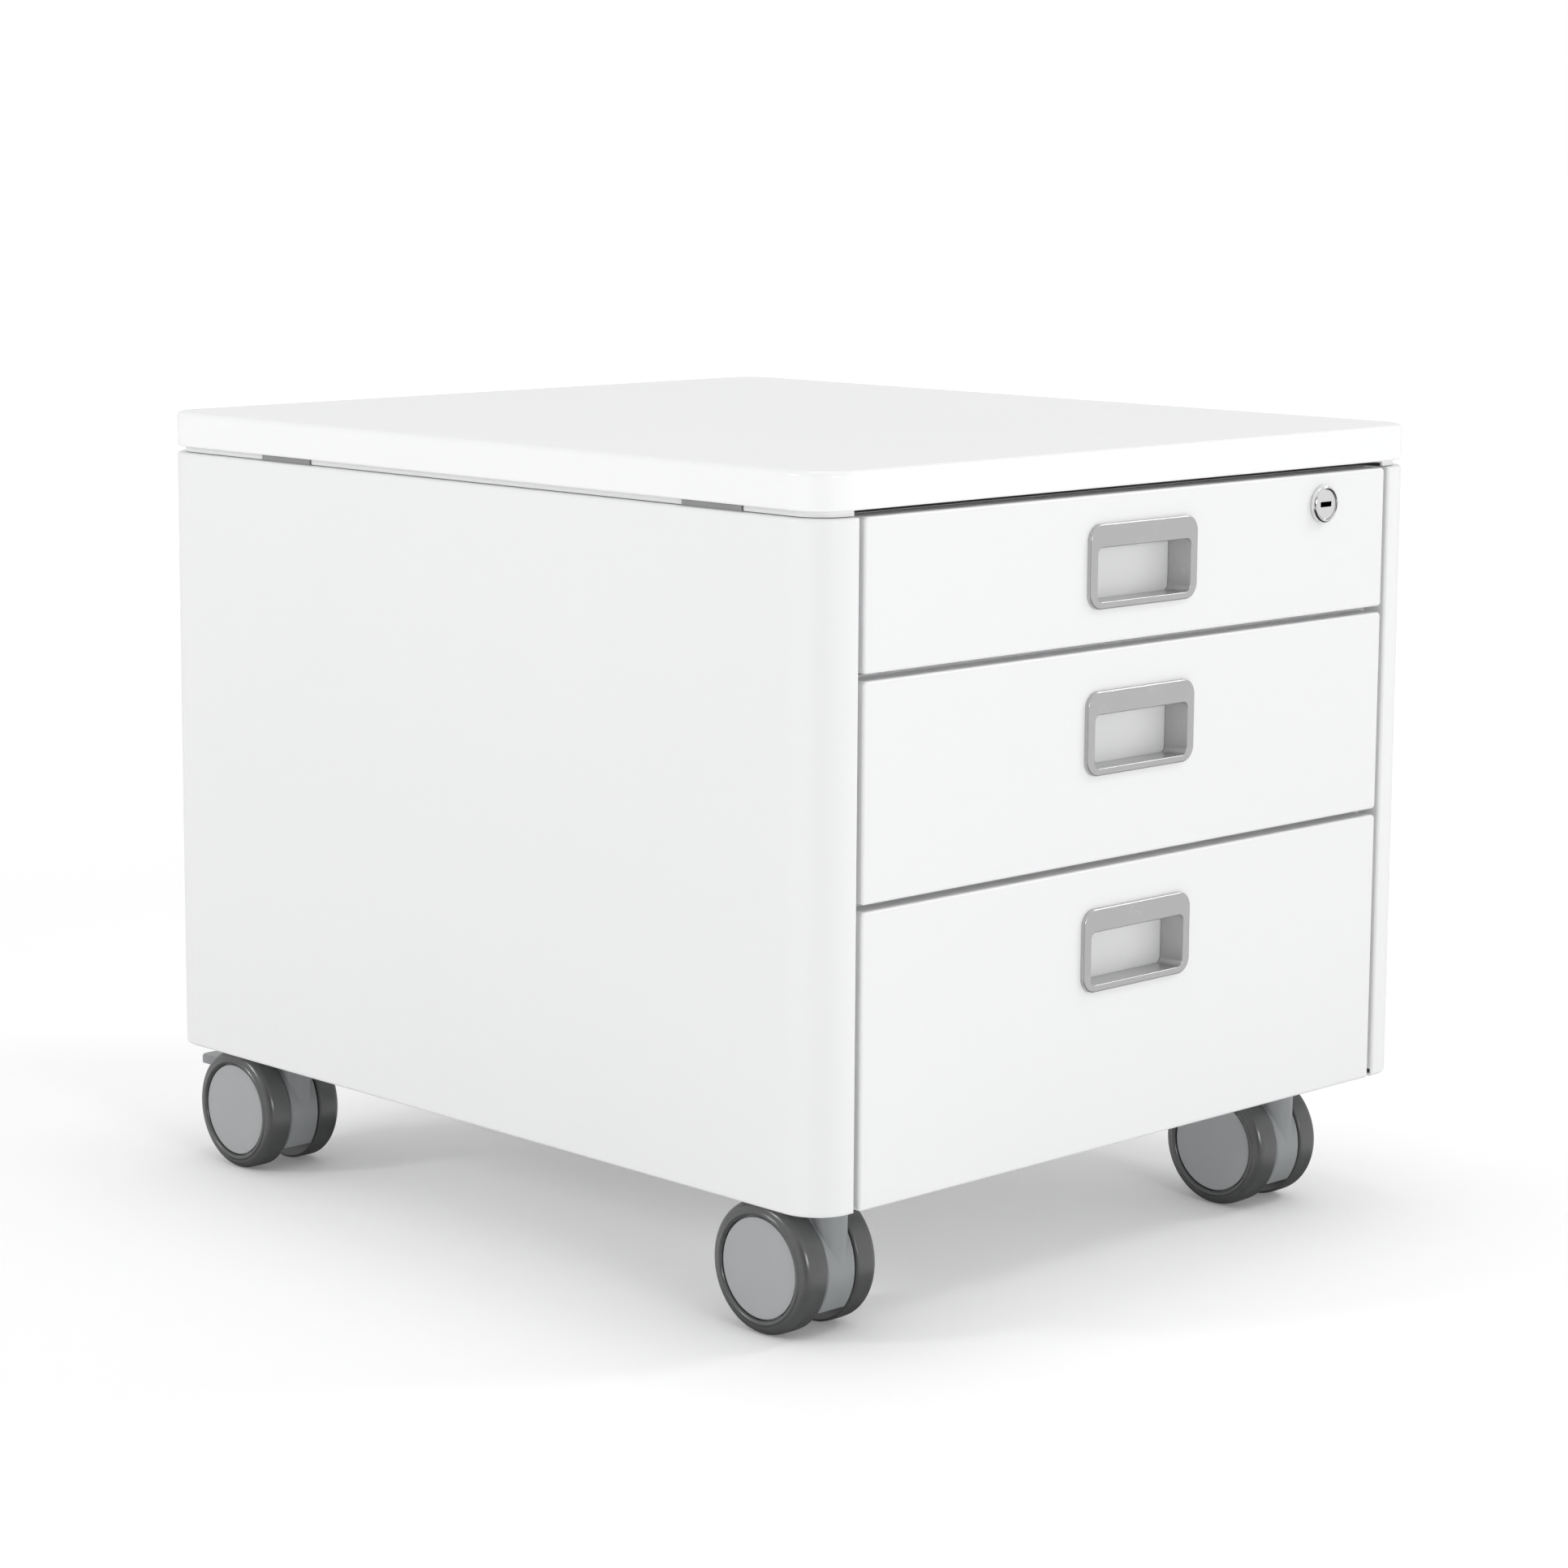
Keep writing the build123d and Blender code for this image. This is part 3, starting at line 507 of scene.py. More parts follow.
class Finish(Enum):
    """The record's material slots, each with the finish that dresses it."""

    WHITE_PAINT = PowderCoat()
    CORE_BOARD = ChipBoard()
    PAD_RUBBER = MouldedPlastic((0.34, 0.34, 0.345), (0.29, 0.29, 0.295), 0.7, 1500.0, 0.00005)
    ZINC_STEEL = RolledZinc()
    GREY_PLASTIC = MouldedPlastic(
        (0.54, 0.54, 0.542), (0.51, 0.51, 0.512), 0.25, 3000.0, 0.00001, metal_share=0.6
    )
    CHROME_TRIM = PolishedMetal((0.88, 0.885, 0.89), (0.82, 0.825, 0.83))
    SATIN_NICKEL = PolishedMetal((0.97, 0.97, 0.968), (0.93, 0.93, 0.928), 0.4, 0.000008)
    CASTER_GREY = MouldedPlastic((0.285, 0.297, 0.302), (0.26, 0.272, 0.277), 0.3)
    HUB_GREY = MouldedPlastic((0.405, 0.415, 0.42), (0.385, 0.395, 0.40), 0.36)
    TYRE_RUBBER = WheelRubber()

    @property
    def slot(self) -> str:
        """The slot's name in the record."""
        return self.name.lower()


# The lid takes a lighter copy of the body's white paint: painted light, which brightens the lid and
# its edges beyond what the lamps give.
LID_PAINTED_LIGHT = PowderCoat((0.925, 0.926, 0.929), (0.914, 0.916, 0.92))


class Dresser:
    """Makes each finish once and puts it on pieces."""

    def __init__(self) -> None:
        """Starts with no material made."""
        self.made: dict[Finish, bpy.types.Material] = {}

    def material(self, finish: Finish) -> bpy.types.Material:
        """The material of a finish, made when it is first asked for.

        Args:
            finish: the finish.

        Returns:
            Its material.
        """
        if finish not in self.made:
            self.made[finish] = finish.value.build("finish_" + finish.slot)
        return self.made[finish]

    def dress_frame(self) -> None:
        """Puts its slot's finish on every node of the frame, and on the lid a lighter copy of the
        white paint that paints light on it.
        """
        by_slot = {finish.slot: finish for finish in Finish}
        for node in frame["nodes"].values():
            for place in node.material_slots:
                name = place.material.name.split(".")[0]
                place.material = self.material(by_slot[name])
        # Painted light: the lid's paint is a lighter copy of the body's white.
        lid_painted_light = LID_PAINTED_LIGHT.build("finish_lid_paint")
        for place in frame["nodes"]["top_panel"].material_slots:
            place.material = lid_painted_light

    def dress(self, piece: bpy.types.Object, finish: Finish) -> None:
        """Puts a finish on a new piece."""
        piece.data.materials.append(self.material(finish))


# ---------------------------------------------------------------- surfaces worked out with numpy


@dataclass
class Shell:
    """Vertices and faces that grow into one mesh. All points are in millimetres."""

    points: list[Array] = field(default_factory=list)
    faces: list[list[int]] = field(default_factory=list)
    count: int = 0

    def add(self, points: Array, quads: Array, caps: Sequence[Array] = ()) -> None:
        """Adds one closed skin, turned so that its faces look outwards.

        The sum of the signed volumes of the cones from the origin to each face is positive
        when the faces look out, so the corners run the other way where it is negative. Each face
        counts as the fan of triangles from its first corner.

        Args:
            points: vertices, one row each.
            quads: corner numbers of the four-sided faces, one row each.
            caps: corner numbers of each many-sided end face.
        """
        a, b, c, d = (points[quads[:, k]] for k in range(4))
        volume = (a * (np.cross(b, c) + np.cross(c, d))).sum()
        for cap in caps:
            rim = points[cap]
            volume += (rim[:1] * np.cross(rim[1:-1], rim[2:])).sum()
        step = 1 if volume > 0 else -1
        self.faces += (quads[:, ::step] + self.count).tolist()
        self.faces += [(cap[::step] + self.count).tolist() for cap in caps]
        self.points.append(points)
        self.count += len(points)

    def loft(self, rings: Array, closed: bool = False) -> None:
        """Adds the skin through a row of closed loops.

        Vertex (i, j) is point j of loop i. Neighbouring loops are joined by quads. An open row is
        capped at both ends, and a closed one joins its last loop to its first.

        Args:
            rings: array of loops, points and coordinates.
            closed: whether the row of loops closes on itself.
        """
        rows, around = rings.shape[:2]
        last = rows if closed else rows - 1
        i, j = np.meshgrid(np.arange(last), np.arange(around), indexing="ij")
        low, high = i * around, (i + 1) % rows * around
        following = (j + 1) % around
        corners = [low + j, low + following, high + following, high + j]
        quads = np.stack(corners, axis=-1).reshape(-1, 4)
        first = np.arange(around)
        caps = () if closed else (first[::-1], first + (rows - 1) * around)
        self.add(rings.reshape(-1, 3), quads, caps)

    def piece(self, name: str, sharp: float = 32.0) -> bpy.types.Object:
        """Turns the shell into an object in metres.

        Args:
            name: the piece's name.
            sharp: edges that turn by more than this many degrees stay crisp.

        Returns:
            The object, smooth-shaded with its large faces kept flat.
        """
        mesh = bpy.data.meshes.new(name)
        mesh.from_pydata((np.concatenate(self.points) * MM).tolist(), [], self.faces)
        mesh.polygons.foreach_set("use_smooth", np.ones(len(mesh.polygons), bool))
        mesh.set_sharp_from_angle(angle=math.radians(sharp))
        mesh.update()
        made = bpy.data.objects.new(name, mesh)
        bpy.context.scene.collection.objects.link(made)
        weighted = made.modifiers.new("flat_faces", "WEIGHTED_NORMAL")
        weighted.keep_sharp = True
        return made


def arc(
    centre: tuple[float, float], radius: float, start: float, end: float, steps: int = 6
) -> Array:
    """Points of a circular arc.

    Each point is centre + radius * (cosine, sine) of an angle that goes evenly from start to end.

    Args:
        centre: the arc's middle.
        radius: its radius.
        start: first angle in degrees.
        end: last angle in degrees.
        steps: number of steps between them.

    Returns:
        The points, one row each.
    """
    angle = np.radians(np.linspace(start, end, steps + 1))
    return np.array(centre) + radius * np.stack([np.cos(angle), np.sin(angle)], axis=-1)


def rounded_loop(half: tuple[float, float], radius: float, steps: int = 10) -> Array:
    """A rounded rectangle about the origin.

    Each quarter arc stands at its corner, radius in from both sides, and the straight sides are
    the steps from one arc to the next.

    Args:
        half: half its width and half its height.
        radius: the corners' radius.
        steps: steps along each quarter arc.

    Returns:
        The loop's points, one row each.
    """
    across, up = half[0] - radius, half[1] - radius
    signs = ((1, 1, 0), (-1, 1, 90), (-1, -1, 180), (1, -1, 270))
    return np.concatenate(
        [arc((sx * across, sy * up), radius, start, start + 90, steps) for sx, sy, start in signs]
    )


def on_front(loop: Array, centre: tuple[float, float], y: float) -> Array:
    """A flat loop stood up in the plane of that Y, about a centre given as X and Z."""
    x, z = (loop + centre).T
    return np.stack([x, np.full(len(loop), y), z], axis=-1)


def turned(profile: Array, centre: Array, axis: "Axle", steps: int = 96) -> Array:
    """A profile turned round an axle.

    Each profile point is a distance along the axle and a radius. Ring k is that radius times the
    cosine and sine of the turn, in the two directions across the axle.

    Args:
        profile: rows of distance along the axle and radius.
        centre: a point of the axle, from which the distances count.
        axis: the axle's direction.
        steps: points in each ring.

    Returns:
        Rings for Shell.loft, one for each profile point.
    """
    along, across, upright = axis.value
    turn = np.linspace(0.0, 2 * math.pi, steps, endpoint=False)
    spokes = np.outer(np.cos(turn), across) + np.outer(np.sin(turn), upright)
    return (
        centre
        + profile[:, None, :1] * np.array(along)
        + profile[:, None, 1:] * spokes[None]
    )


class Axle(Enum):
    """Directions of turned pieces: along, and the two directions across."""

    LEFT = ((-1.0, 0.0, 0.0), (0.0, 1.0, 0.0), (0.0, 0.0, 1.0))
    RIGHT = ((1.0, 0.0, 0.0), (0.0, 1.0, 0.0), (0.0, 0.0, 1.0))
    FRONT = ((0.0, -1.0, 0.0), (1.0, 0.0, 0.0), (0.0, 0.0, 1.0))


def node_box(node: str) -> tuple[Array, Array]:
    """Lowest and highest corners of a frame node, in millimetres."""
    low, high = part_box(node)
    return np.array(low) / MM, np.array(high) / MM


def settle(piece: bpy.types.Object, dresser: "Dresser", finish: Finish, *nodes: str) -> None:
    """Dresses a new piece, puts it on the body of the nodes that it stands for, and reports it.

    Args:
        piece: the new piece.
        dresser: the finishes.
        finish: the piece's finish.
        nodes: the frame nodes that it replaces.
    """
    dresser.dress(piece, finish)
    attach(piece, frame["nodes"][nodes[0]]["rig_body"])
    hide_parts(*nodes)
    LOG.info("%s: %d faces, %s", piece.name, len(piece.data.polygons), finish.slot)


# ---------------------------------------------------------------- handles


@dataclass
class RecessedGrip:
    """The moulded grip of one drawer.

    It has a raised rounded border, a lip round the opening and a finger pocket. Sizes are in
    millimetres.
    """

    drawer: str
    proud: float = 2.0
    corner_r: float = 7.5
    edge_r: float = 0.8
    opening_half: tuple[float, float] = (32.0, 12.2)
    opening_r: float = 3.0
    bottom_border: float = 3.4
    lip: float = 0.5
    pocket_half: tuple[float, float] = (32.35, 15.5)
    pocket_drop: float = 0.3
    wall: float = 1.2
    lip_margin: float = 0.35
    edge_sunk: float = 0.25
    wall_sunk: float = 0.2

    def build(self, dresser: Dresser) -> None:
        """Builds the grip inside its frame node's box.

        Every ring is a rounded rectangle at its own depth. They run from the border's foot over its
        rounded edge, across the face, over the lip, down the pocket and back round its outside.

        Args:
            dresser: the finishes.
        """
        node = f"{self.drawer}_handle_bezel"
        low, high = node_box(node)
        half = ((high[0] - low[0]) / 2, (high[2] - low[2]) / 2)
        border = (0.0, (high[2] + low[2]) / 2)
        face_y = low[1]
        seat_y = face_y + self.proud
        back_y = high[1]
        floor_z = low[2] + self.bottom_border
        opening = (0.0, floor_z + self.opening_half[1])
        pocket = (0.0, floor_z + self.pocket_half[1] - self.pocket_drop)
        rings = [self._ring(half, self.corner_r, border, seat_y)]
        for inset, rise in arc((self.edge_r, -self.edge_r), self.edge_r, 180, 90, 7):
            trimmed = (half[0] - inset, half[1] - inset)
            rings.append(self._ring(trimmed, self.corner_r - inset, border, face_y - rise))
        rim = (self.lip + self.lip_margin, 0.0)
        for grown, sink in (rim, *arc((self.lip, self.lip), self.lip, -90, -180, 6)):
            spread = (self.opening_half[0] + grown, self.opening_half[1] + grown)
            rings.append(self._ring(spread, self.opening_r + grown, opening, face_y + sink))
        edge_y = seat_y - self.edge_sunk
        rings.append(self._ring(self.opening_half, self.opening_r, opening, edge_y))
        for y in (seat_y, back_y):
            rings.append(self._ring(self.pocket_half, self.opening_r, pocket, y))
        outside = (self.pocket_half[0] + self.wall, self.pocket_half[1] + self.wall)
        for y in (back_y, seat_y + self.wall_sunk):
            rings.append(self._ring(outside, self.opening_r + self.wall, pocket, y))
        shell = Shell()
        shell.loft(np.stack(rings), closed=True)
        settle(shell.piece(f"{self.drawer}_recessed_grip"), dresser, Finish.GREY_PLASTIC, node)

    @staticmethod
    def _ring(
        half: tuple[float, float], radius: float, centre: tuple[float, float], y: float
    ) -> Array:
        """One rounded ring at its place."""
        return on_front(rounded_loop(half, radius, 12), centre, y)


# ---------------------------------------------------------------- cam lock


@dataclass
class CamLock:
    """The lock's barrel with its domed ring, and its plug with the key slot, in millimetres."""

    ring_r: float = 9.0
    crest_r: float = 7.85
    mouth_r: float = 7.32
    thread_pitch: float = 1.0
    thread_depth: float = 0.35
    slot_half: tuple[float, float] = (4.0, 1.15)
    chamfer: float = 0.35
    undercut: float = 0.45
    dome_r: float = 1.9
    seat: float = 3.0
    barrel_r: float = 8.0
    bore_r: float = 5.05
    counterbore: float = 0.6
    slot_corner_r: float = 0.35
    slot_bevel: float = 0.2
    slot_bevel_r: float = 0.5
    slot_depth: float = 8.5
    plug_edge: tuple[float, float] = (0.1, 0.12)
    plug_head: float = 2.9
    shank_r: float = 5.0
    collar_r: float = 6.5
    collar: float = 1.5
    corner_steps: int = 15
    sharp: float = 24.0

    def build(self, dresser: Dresser) -> None:
        """Builds barrel and plug.

        Args:
            dresser: the finishes.
        """
        self._barrel(dresser)
        self._plug(dresser)

    def _barrel(self, dresser: Dresser) -> None:
        """Turns the barrel.

        Its ring has a domed shoulder and an inner chamfer, and threads stand behind the seat: their
        crest is lowered at every second half pitch.

        Args:
            dresser: the finishes.
        """
        low, high = node_box("lock_barrel")
        centre = np.array([(low[0] + high[0]) / 2, low[1], (low[2] + high[2]) / 2])
        length = high[1] - low[1]
        seat = self.seat
        dome = arc((-self.dome_r, 0.0), self.dome_r, 90, 0, 10)
        dome[:, 1] = self.crest_r + dome[:, 1] / self.dome_r * (self.ring_r - self.crest_r)
        threads = np.arange(seat + 1.0, length - 0.5, self.thread_pitch / 2)
        crest = self.barrel_r - self.thread_depth * (np.arange(len(threads)) % 2)
        rows = [
            (-length, self.bore_r),
            (-length, self.barrel_r - self.thread_depth),
            *zip(-threads[::-1], crest[::-1]),
            (-seat, self.barrel_r),
            (-seat, self.ring_r - self.undercut),
            (self.undercut - seat, self.ring_r),
            *dome,
            (0.0, self.mouth_r + self.chamfer),
            (-self.chamfer, self.mouth_r),
            (-seat - self.counterbore, self.mouth_r),
            (-seat - self.counterbore, self.bore_r),
        ]
        shell = Shell()
        shell.loft(turned(np.array(rows), centre, Axle.FRONT), closed=True)
        barrel = shell.piece("lock_barrel_turned", self.sharp)
        settle(barrel, dresser, Finish.CHROME_TRIM, "lock_barrel")

    def _plug(self, dresser: Dresser) -> None:
        """Builds the plug.

        The slot's rings are rounded rectangles, and the rest are circles with as many points.

        Args:
            dresser: the finishes.
        """
        low, high = node_box("lock_plug")
        centre = ((low[0] + high[0]) / 2, (low[2] + high[2]) / 2)
        radius = (high[0] - low[0]) / 2
        face_y = low[1]
        length = high[1] - low[1]
        mouth = (self.slot_half[0] + self.slot_bevel, self.slot_half[1] + self.slot_bevel)
        slot = rounded_loop(self.slot_half, self.slot_corner_r, self.corner_steps)
        wide_slot = rounded_loop(mouth, self.slot_bevel_r, self.corner_steps)
        turn = np.radians(np.linspace(0, 360, len(slot), endpoint=False) + 180 / len(slot))
        circle = np.stack([np.cos(turn), np.sin(turn)], axis=-1)
        rings = [
            on_front(slot, centre, face_y + self.slot_depth),
            on_front(slot, centre, face_y + self.slot_bevel),
            on_front(wide_slot, centre, face_y),
        ]
        outside = (
            (radius - self.chamfer, 0.0),
            (radius - self.plug_edge[0], self.plug_edge[1]),
            (radius, self.chamfer),
            (radius, self.plug_head),
            (self.shank_r, self.plug_head),
            (self.shank_r, length - self.collar),
            (self.collar_r, length - self.collar),
            (self.collar_r, length),
        )
        rings += [on_front(circle * r, centre, face_y + sink) for r, sink in outside]
        shell = Shell()
        shell.loft(np.stack(rings))
        plug = shell.piece("lock_plug_turned", self.sharp)
        # The first two rings bound the slot's floor and wall, which take painted shade: near-black
        # and dull, for the shade deep in the keyway.
        keyway_shade = np.zeros(len(plug.data.vertices), np.float32)
        keyway_shade[: 2 * len(slot)] = 1.0
        plug.data.attributes.new(KEYWAY_SHADE, "FLOAT", "POINT").data.foreach_set("value", keyway_shade)
        settle(plug, dresser, Finish.SATIN_NICKEL, "lock_plug")


# ---------------------------------------------------------------- casters


@dataclass
class TwinWheel:
    """One wheel of a twin-wheel caster: tyre with a rolled lip, and a flat hub sunk inside it.

    Sizes are in millimetres.
    """

    corner: str
    place: str
    lip_r: float = 1.3
    flank_sunk: float = 0.55
    shoulder_r: float = 4.2
    heel_r: float = 1.3
    bore_r: float = 23.4
    groove: float = 1.6
    face_r: float = 22.7
    face_sunk: float = 1.1
    back_sunk: float = 0.8
    face_edge_r: float = 0.35
    boss_r: float = 9.0
    axle_r: float = 3.05
    recess: float = 6.0
    crown_drop: float = 0.1
    tread_gap: float = 0.4  # from the shoulder's middle to the first point of the crown
    bore_bevel: tuple[float, float] = (0.5, 0.9)
    hub_slack: float = 0.05
    dimple_r: float = 0.5
    flat_margin: float = 1.2
    rim_wall: tuple[float, float] = (3.2, 3.8)
    boss_foot: float = 0.6
    end_gap: float = 2.08  # from the hub's face to the closed end of its axle hole
    steps: int = 128

    def build(self, dresser: Dresser) -> None:
        """Turns tyre and hub about the wheel's axle.

        Args:
            dresser: the finishes.
        """
        tyre_node = f"{self.corner}_{self.place}_tyre"
        hub_node = f"{self.corner}_{self.place}_hub"
        low, high = node_box(tyre_node)
        outwards_left = self._faces_left(low, high)
        axle = Axle.LEFT if outwards_left else Axle.RIGHT
        outer_x = low[0] if outwards_left else high[0]
        centre = np.array([outer_x, (low[1] + high[1]) / 2, (low[2] + high[2]) / 2])
        radius = (high[2] - low[2]) / 2
        width = high[0] - low[0]
        shell = Shell()
        shell.loft(turned(self._tyre_profile(radius, width), centre, axle, self.steps), closed=True)
        settle(shell.piece(f"{tyre_node}_turned"), dresser, Finish.TYRE_RUBBER, tyre_node)
        shell = Shell()
        shell.loft(turned(self._hub_profile(width), centre, axle, self.steps))
        settle(shell.piece(f"{hub_node}_turned"), dresser, Finish.HUB_GREY, hub_node)

    def _faces_left(self, low: Array, high: Array) -> bool:
        """Whether the wheel stands on the left of its caster's housing."""
        housing_low, housing_high = node_box(f"{self.corner}_caster_housing")
        return low[0] + high[0] < housing_low[0] + housing_high[0]

    def _tyre_profile(self, radius: float, width: float) -> Array:
        """The tyre's section: distances along the axle, 0 at the outer side, and radii.

        A bead stands round the bore, the flank beyond it is sunk a little, a larger round makes the
        shoulder, and the tread is a shallow crown: its radius drops with the square of the distance
        from its middle.

        Args:
            radius: the tyre's outer radius.
            width: its width along the axle.

        Returns:
            Rows of distance and radius. Distances inwards are negative.
        """
        lip = arc((-self.lip_r, self.bore_r + self.lip_r), self.lip_r, 270, 405, 10)
        edge_r = radius - self.crown_drop
        shoulder_middle = (-self.shoulder_r - self.flank_sunk, edge_r - self.shoulder_r)
        shoulder = arc(shoulder_middle, self.shoulder_r, 0, 84, 12)
        heel_start = -width + self.heel_r
        x = np.linspace(shoulder_middle[0] - self.tread_gap, heel_start, 7)
        middle = (x[0] + x[-1]) / 2
        drop = self.crown_drop * ((x - middle) / (x[0] - middle)) ** 2
        crown = np.stack([x, radius - drop], axis=-1)
        heel = arc((heel_start, edge_r - self.heel_r), self.heel_r, 84, 180, 8)
        bevel_x, bevel_r = self.bore_bevel
        return np.concatenate(
            [
                [(-self.face_sunk - self.groove, self.bore_r)],
                lip,
                shoulder,
                crown,
                heel,
                [(-width, self.bore_r + bevel_r), (-width + bevel_x, self.bore_r)],
            ]
        )

    def _hub_profile(self, width: float) -> Array:
        """The hub's section, from the middle of its face over the groove to the recessed back.

        Args:
            width: the tyre's width along the axle.

        Returns:
            Rows of distance along the axle and radius.
        """
        back = -width + self.back_sunk
        floor = back + self.recess
        face = -self.face_sunk
        edge_middle = (face - self.face_edge_r, self.face_r - self.face_edge_r)
        edge = arc(edge_middle, self.face_edge_r, 0, 90, 5)
        body_r = self.bore_r - self.hub_slack
        return np.concatenate(
            [
                [(face, self.dimple_r), (face, self.face_r - self.flat_margin)],
                edge,
                [
                    (face - self.groove, self.face_r),
                    (face - self.groove, body_r),
                    (back, body_r),
                    (back, self.bore_r - self.rim_wall[0]),
                    (floor, self.bore_r - self.rim_wall[1]),
                    (floor, self.boss_r + self.boss_foot),
                    (back, self.boss_r),
                    (back, self.axle_r),
                    (face - self.end_gap, self.axle_r),
                ],
            ]
        )


# ---------------------------------------------------------------- telescopic slides


@dataclass
class SlideMember:
    """Slide members on the left and right: rolled channels with rounded bends, in millimetres."""

    node: str
    web_towards_wall: bool
    sheet: float = 1.2
    bend_r: float = 1.6
    least_gap: float = 40.0  # between members one above the other

    def build(self, dresser: Dresser) -> None:
        """Rolls one channel in the box of each of the node's separate solids.

        Args:
            dresser: the finishes.
        """
        shell = Shell()
        for low, high in self._boxes():
            self._channel(shell, low, high)
        settle(shell.piece(f"{self.node}_rolled"), dresser, Finish.ZINC_STEEL, self.node)

    def _boxes(self) -> list[tuple[Array, Array]]:
        """Boxes of the node's separate solids, split by side and by the gaps between heights.

        Returns:
            The lowest and highest corner of each solid, in millimetres.
        """
        data = frame["nodes"][self.node].data
        points = np.empty(len(data.vertices) * 3)
        data.vertices.foreach_get("co", points)
        points = points.reshape(-1, 3) / MM
        boxes = []
        for side in (-1, 1):
            half = points[points[:, 0] * side > 0]
            heights = np.unique(half[:, 2].round(2))
            cuts = np.flatnonzero(np.diff(heights) > self.least_gap)
            between = (heights[cuts] + heights[cuts + 1]) / 2
            edges = [heights[0] - 1, *between, heights[-1] + 1]
            for bottom, top in zip(edges[:-1], edges[1:]):
                part = half[(half[:, 2] > bottom) & (half[:, 2] < top)]
                boxes.append((part.min(axis=0), part.max(axis=0)))
        return boxes

    def _channel(self, shell: Shell, low: Array, high: Array) -> None:
        """Adds one channel: its section is a U whose bends are quarter rounds, carried along Y.

        Args:
            shell: the surface that it is added to.
            low: lowest corner of its box.
            high: highest corner of its box.
        """
        side = 1.0 if low[0] > 0 else -1.0
        wall_side = side if self.web_towards_wall else -side
        web_x = high[0] if wall_side > 0 else low[0]
        depth = high[0] - low[0]
        half = (high[2] - low[2]) / 2
        outer = np.concatenate(
            [
                [(depth, -half)],
                arc((self.bend_r, -half + self.bend_r), self.bend_r, 270, 180, 5),
                arc((self.bend_r, half - self.bend_r), self.bend_r, 180, 90, 5),
                [(depth, half)],
            ]
        )
        t = self.sheet
        inner_r = self.bend_r - t
        inner = np.concatenate(
            [
                [(depth, half - t)],
                arc((self.bend_r, half - self.bend_r), inner_r, 90, 180, 3),
                arc((self.bend_r, -half + self.bend_r), inner_r, 180, 270, 3),
                [(depth, -half + t)],
            ]
        )
        section = np.concatenate([outer, inner])
        x = web_x - wall_side * section[:, 0]
        z = (low[2] + high[2]) / 2 + section[:, 1]
        rings = [np.stack([x, np.full(len(x), y), z], axis=-1) for y in (low[1], high[1])]
        shell.loft(np.stack(rings))


# ---------------------------------------------------------------- studio


@dataclass(frozen=True)
class Softbox:
    """One square soft light: where it hangs, its side in metres and its power in watts."""

    name: str
    place: tuple[float, float, float]
    size: float
    watts: float


SOFTBOXES = (
    Softbox("key_right_high", (2.07, -1.26, 2.0), 0.6, 13.5),
    Softbox("rear_left", (-2.5, 1.1, 1.35), 0.45, 14.0),
    Softbox("front_low", (-0.75, -2.75, 0.75), 0.6, 14.0),
    Softbox("overhead", (0.2, 0.3, 2.9), 1.2, 8.0),
)


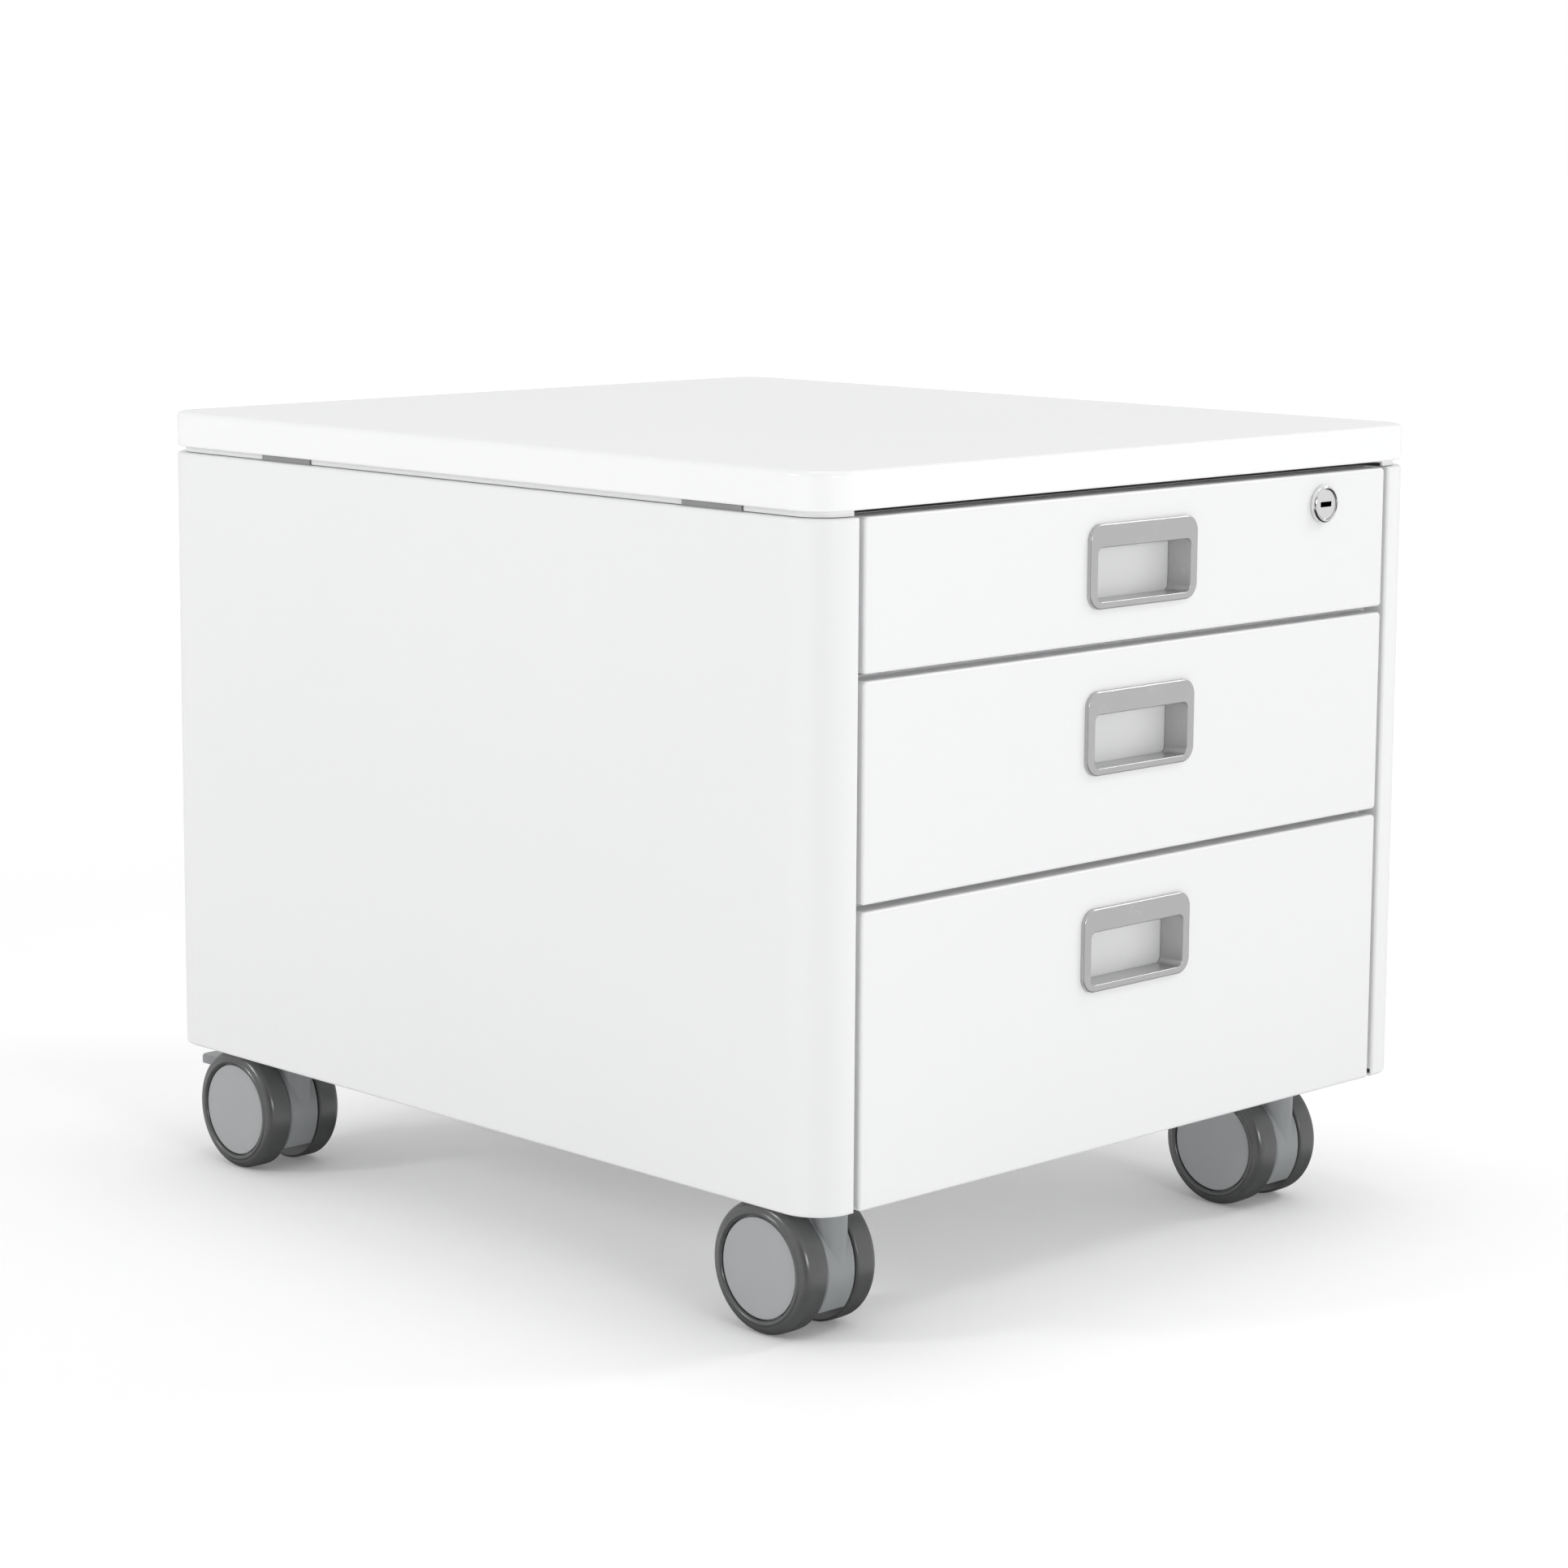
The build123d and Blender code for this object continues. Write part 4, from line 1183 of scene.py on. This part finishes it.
@dataclass
class Studio:
    """Pale floor, soft lights and the camera, placed round the pedestal.

    Places are in metres, turns in degrees, lens and sensor in millimetres.
    """

    floor_half: float = 30.0
    floor_colour: Colour = (0.93, 0.93, 0.93)
    floor_lighter: Colour = (0.95, 0.95, 0.95)
    floor_fade: tuple[float, float] = (0.8, 3.5)
    floor_fibre: float = 60.0
    floor_roughness: float = 0.85
    glow_near: Colour = (0.1, 0.1, 0.1)
    glow_far: Colour = (0.4, 0.4, 0.4)
    sky: float = 0.76
    dark_corner: float = 0.03
    dark_towards: tuple[float, float, float] = (-0.69, -0.705, 0.16)
    dark_cosines: tuple[float, float] = (0.8, 0.96)
    dark_below: tuple[float, float] = (0.3, 0.5)
    dark_share: float = 0.96
    aim: tuple[float, float, float] = (0.0, 0.0, 0.2)
    camera_at: tuple[float, float, float] = (-1.36433, -1.38919, 0.52888)
    yaw: float = 43.6284
    pitch: float = 8.4918
    roll: float = 0.2063
    lens: float = 90.8589
    sensor: float = 36.0
    shift: tuple[float, float] = (0.04, -0.05)

    def floor(self) -> None:
        """Lays a flat floor at height 0, whose paper turns to plain white far from the pedestal."""
        h = self.floor_half
        mesh = bpy.data.meshes.new("studio_floor")
        corners = [(-h, -h, 0.0), (h, -h, 0.0), (h, h, 0.0), (-h, h, 0.0)]
        mesh.from_pydata(corners, [], [(0, 1, 2, 3)])
        piece = bpy.data.objects.new("studio_floor", mesh)
        bpy.context.scene.collection.objects.link(piece)
        shader = Shader("floor_paper")
        fibre = shader.noise(self.floor_fibre, 3.0)
        near, far = self.floor_fade
        reach = shader.node("ShaderNodeVectorMath", {"operation": "LENGTH"}, [shader.place])
        away = ((Channel(shader, reach.outputs["Value"]) - near) / (far - near)).clamped()
        mesh.materials.append(
            shader.surface(
                Base_Color=shader.between(self.floor_colour, self.floor_lighter, fibre),
                Roughness=fibre * 0.05 + self.floor_roughness,
                Emission_Color=shader.between(self.glow_near, self.glow_far, away),
                Emission_Strength=1.0,
            )
        )
        piece.visible_glossy = False

    def hang(self, box: Softbox) -> None:
        """Hangs one soft light, turned to the pedestal.

        Args:
            box: the light.
        """
        light = bpy.data.lights.new(box.name, "AREA")
        light.size = box.size
        light.energy = box.watts
        lamp = bpy.data.objects.new(box.name, light)
        lamp.location = box.place
        towards = Vector(self.aim) - Vector(box.place)
        lamp.rotation_euler = towards.to_track_quat("-Z", "Y").to_euler()
        bpy.context.scene.collection.objects.link(lamp)

    def surround(self) -> None:
        """Sets the room: plain white where it is seen, pale where it lights.

        One corner is dark, by the cosine of the angle from its middle. Reflections find it dark
        below the horizon too, by how far down they point. Both give bright metal its black lines.
        """
        world = bpy.data.worlds.new("studio_white")
        world.use_nodes = True
        room = NodeTree(world.node_tree)
        towards = room.node("ShaderNodeTexCoord").outputs["Generated"]
        ends = [towards, self.dark_towards]
        cosine = room.node("ShaderNodeVectorMath", {"operation": "DOT_PRODUCT"}, ends)
        start, full = self.dark_cosines
        dark = ((Channel(room, cosine.outputs["Value"]) - start) / (full - start)).clamped()
        height = room.node("ShaderNodeSeparateXYZ", {}, [towards]).outputs["Z"]
        start, full = self.dark_below
        below = ((Channel(room, height) * -1.0 - start) / (full - start)).clamped()
        path = room.node("ShaderNodeLightPath").outputs
        seen = Channel(room, path["Is Camera Ray"])
        mirrored = Channel(room, path["Is Glossy Ray"])
        room_light = self.sky - dark * (self.sky - self.dark_corner)
        lit = room_light * (1.0 - below * mirrored * self.dark_share)
        level = lit + seen * (1.0 - lit)
        white = {"Color": (1.0, 1.0, 1.0), "Strength": level}
        background = room.node("ShaderNodeBackground", {}, white)
        room.node("ShaderNodeOutputWorld", {}, {"Surface": background.outputs[0]})
        bpy.context.scene.world = world

    def camera(self) -> None:
        """Sets the camera from its place and its three turns.

        With yaw y and pitch p it looks along (sin y cos p, cos y cos p, -sin p). Its sideways and
        upward directions are then turned about that line by the roll.
        """
        data = bpy.data.cameras.new("view_camera")
        data.sensor_width = self.sensor
        data.lens = self.lens
        data.shift_x, data.shift_y = self.shift
        data.clip_end = 2 * self.floor_half
        yaw, pitch, roll = (math.radians(a) for a in (self.yaw, self.pitch, self.roll))
        level = math.cos(pitch)
        ahead = Vector((math.sin(yaw) * level, math.cos(yaw) * level, -math.sin(pitch)))
        right = Vector((math.cos(yaw), -math.sin(yaw), 0.0))
        up = right.cross(ahead)
        right, up = (
            right * math.cos(roll) + up * math.sin(roll),
            up * math.cos(roll) - right * math.sin(roll),
        )
        eye = bpy.data.objects.new("view_camera", data)
        turn = Matrix((right, up, -ahead)).transposed().to_4x4()
        eye.matrix_world = Matrix.Translation(self.camera_at) @ turn
        bpy.context.scene.collection.objects.link(eye)
        bpy.context.scene.camera = eye

    def build(self) -> None:
        """Lays the floor, sets the room, lights, camera and the way that light becomes tone."""
        self.floor()
        self.surround()
        for box in SOFTBOXES:
            self.hang(box)
        self.camera()
        bpy.context.scene.view_settings.view_transform = "Standard"


def main() -> None:
    """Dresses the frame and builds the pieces."""
    logging.basicConfig(level=logging.INFO, format="%(name)s: %(message)s")
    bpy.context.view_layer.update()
    Studio().build()
    dresser = Dresser()
    dresser.dress_frame()
    LOG.info("frame dressed: %d nodes", len(frame["nodes"]))
    for drawer in DRAWERS:
        RecessedGrip(drawer).build(dresser)
        SlideMember(f"{drawer}_middle_slides", True).build(dresser)
        SlideMember(f"{drawer}_inner_slides", False).build(dresser)
    SlideMember("outer_slides", True).build(dresser)
    CamLock().build(dresser)
    for corner in CORNERS:
        for place in ("outer", "inner"):
            TwinWheel(corner, place).build(dresser)


if __name__ == "__main__":
    main()
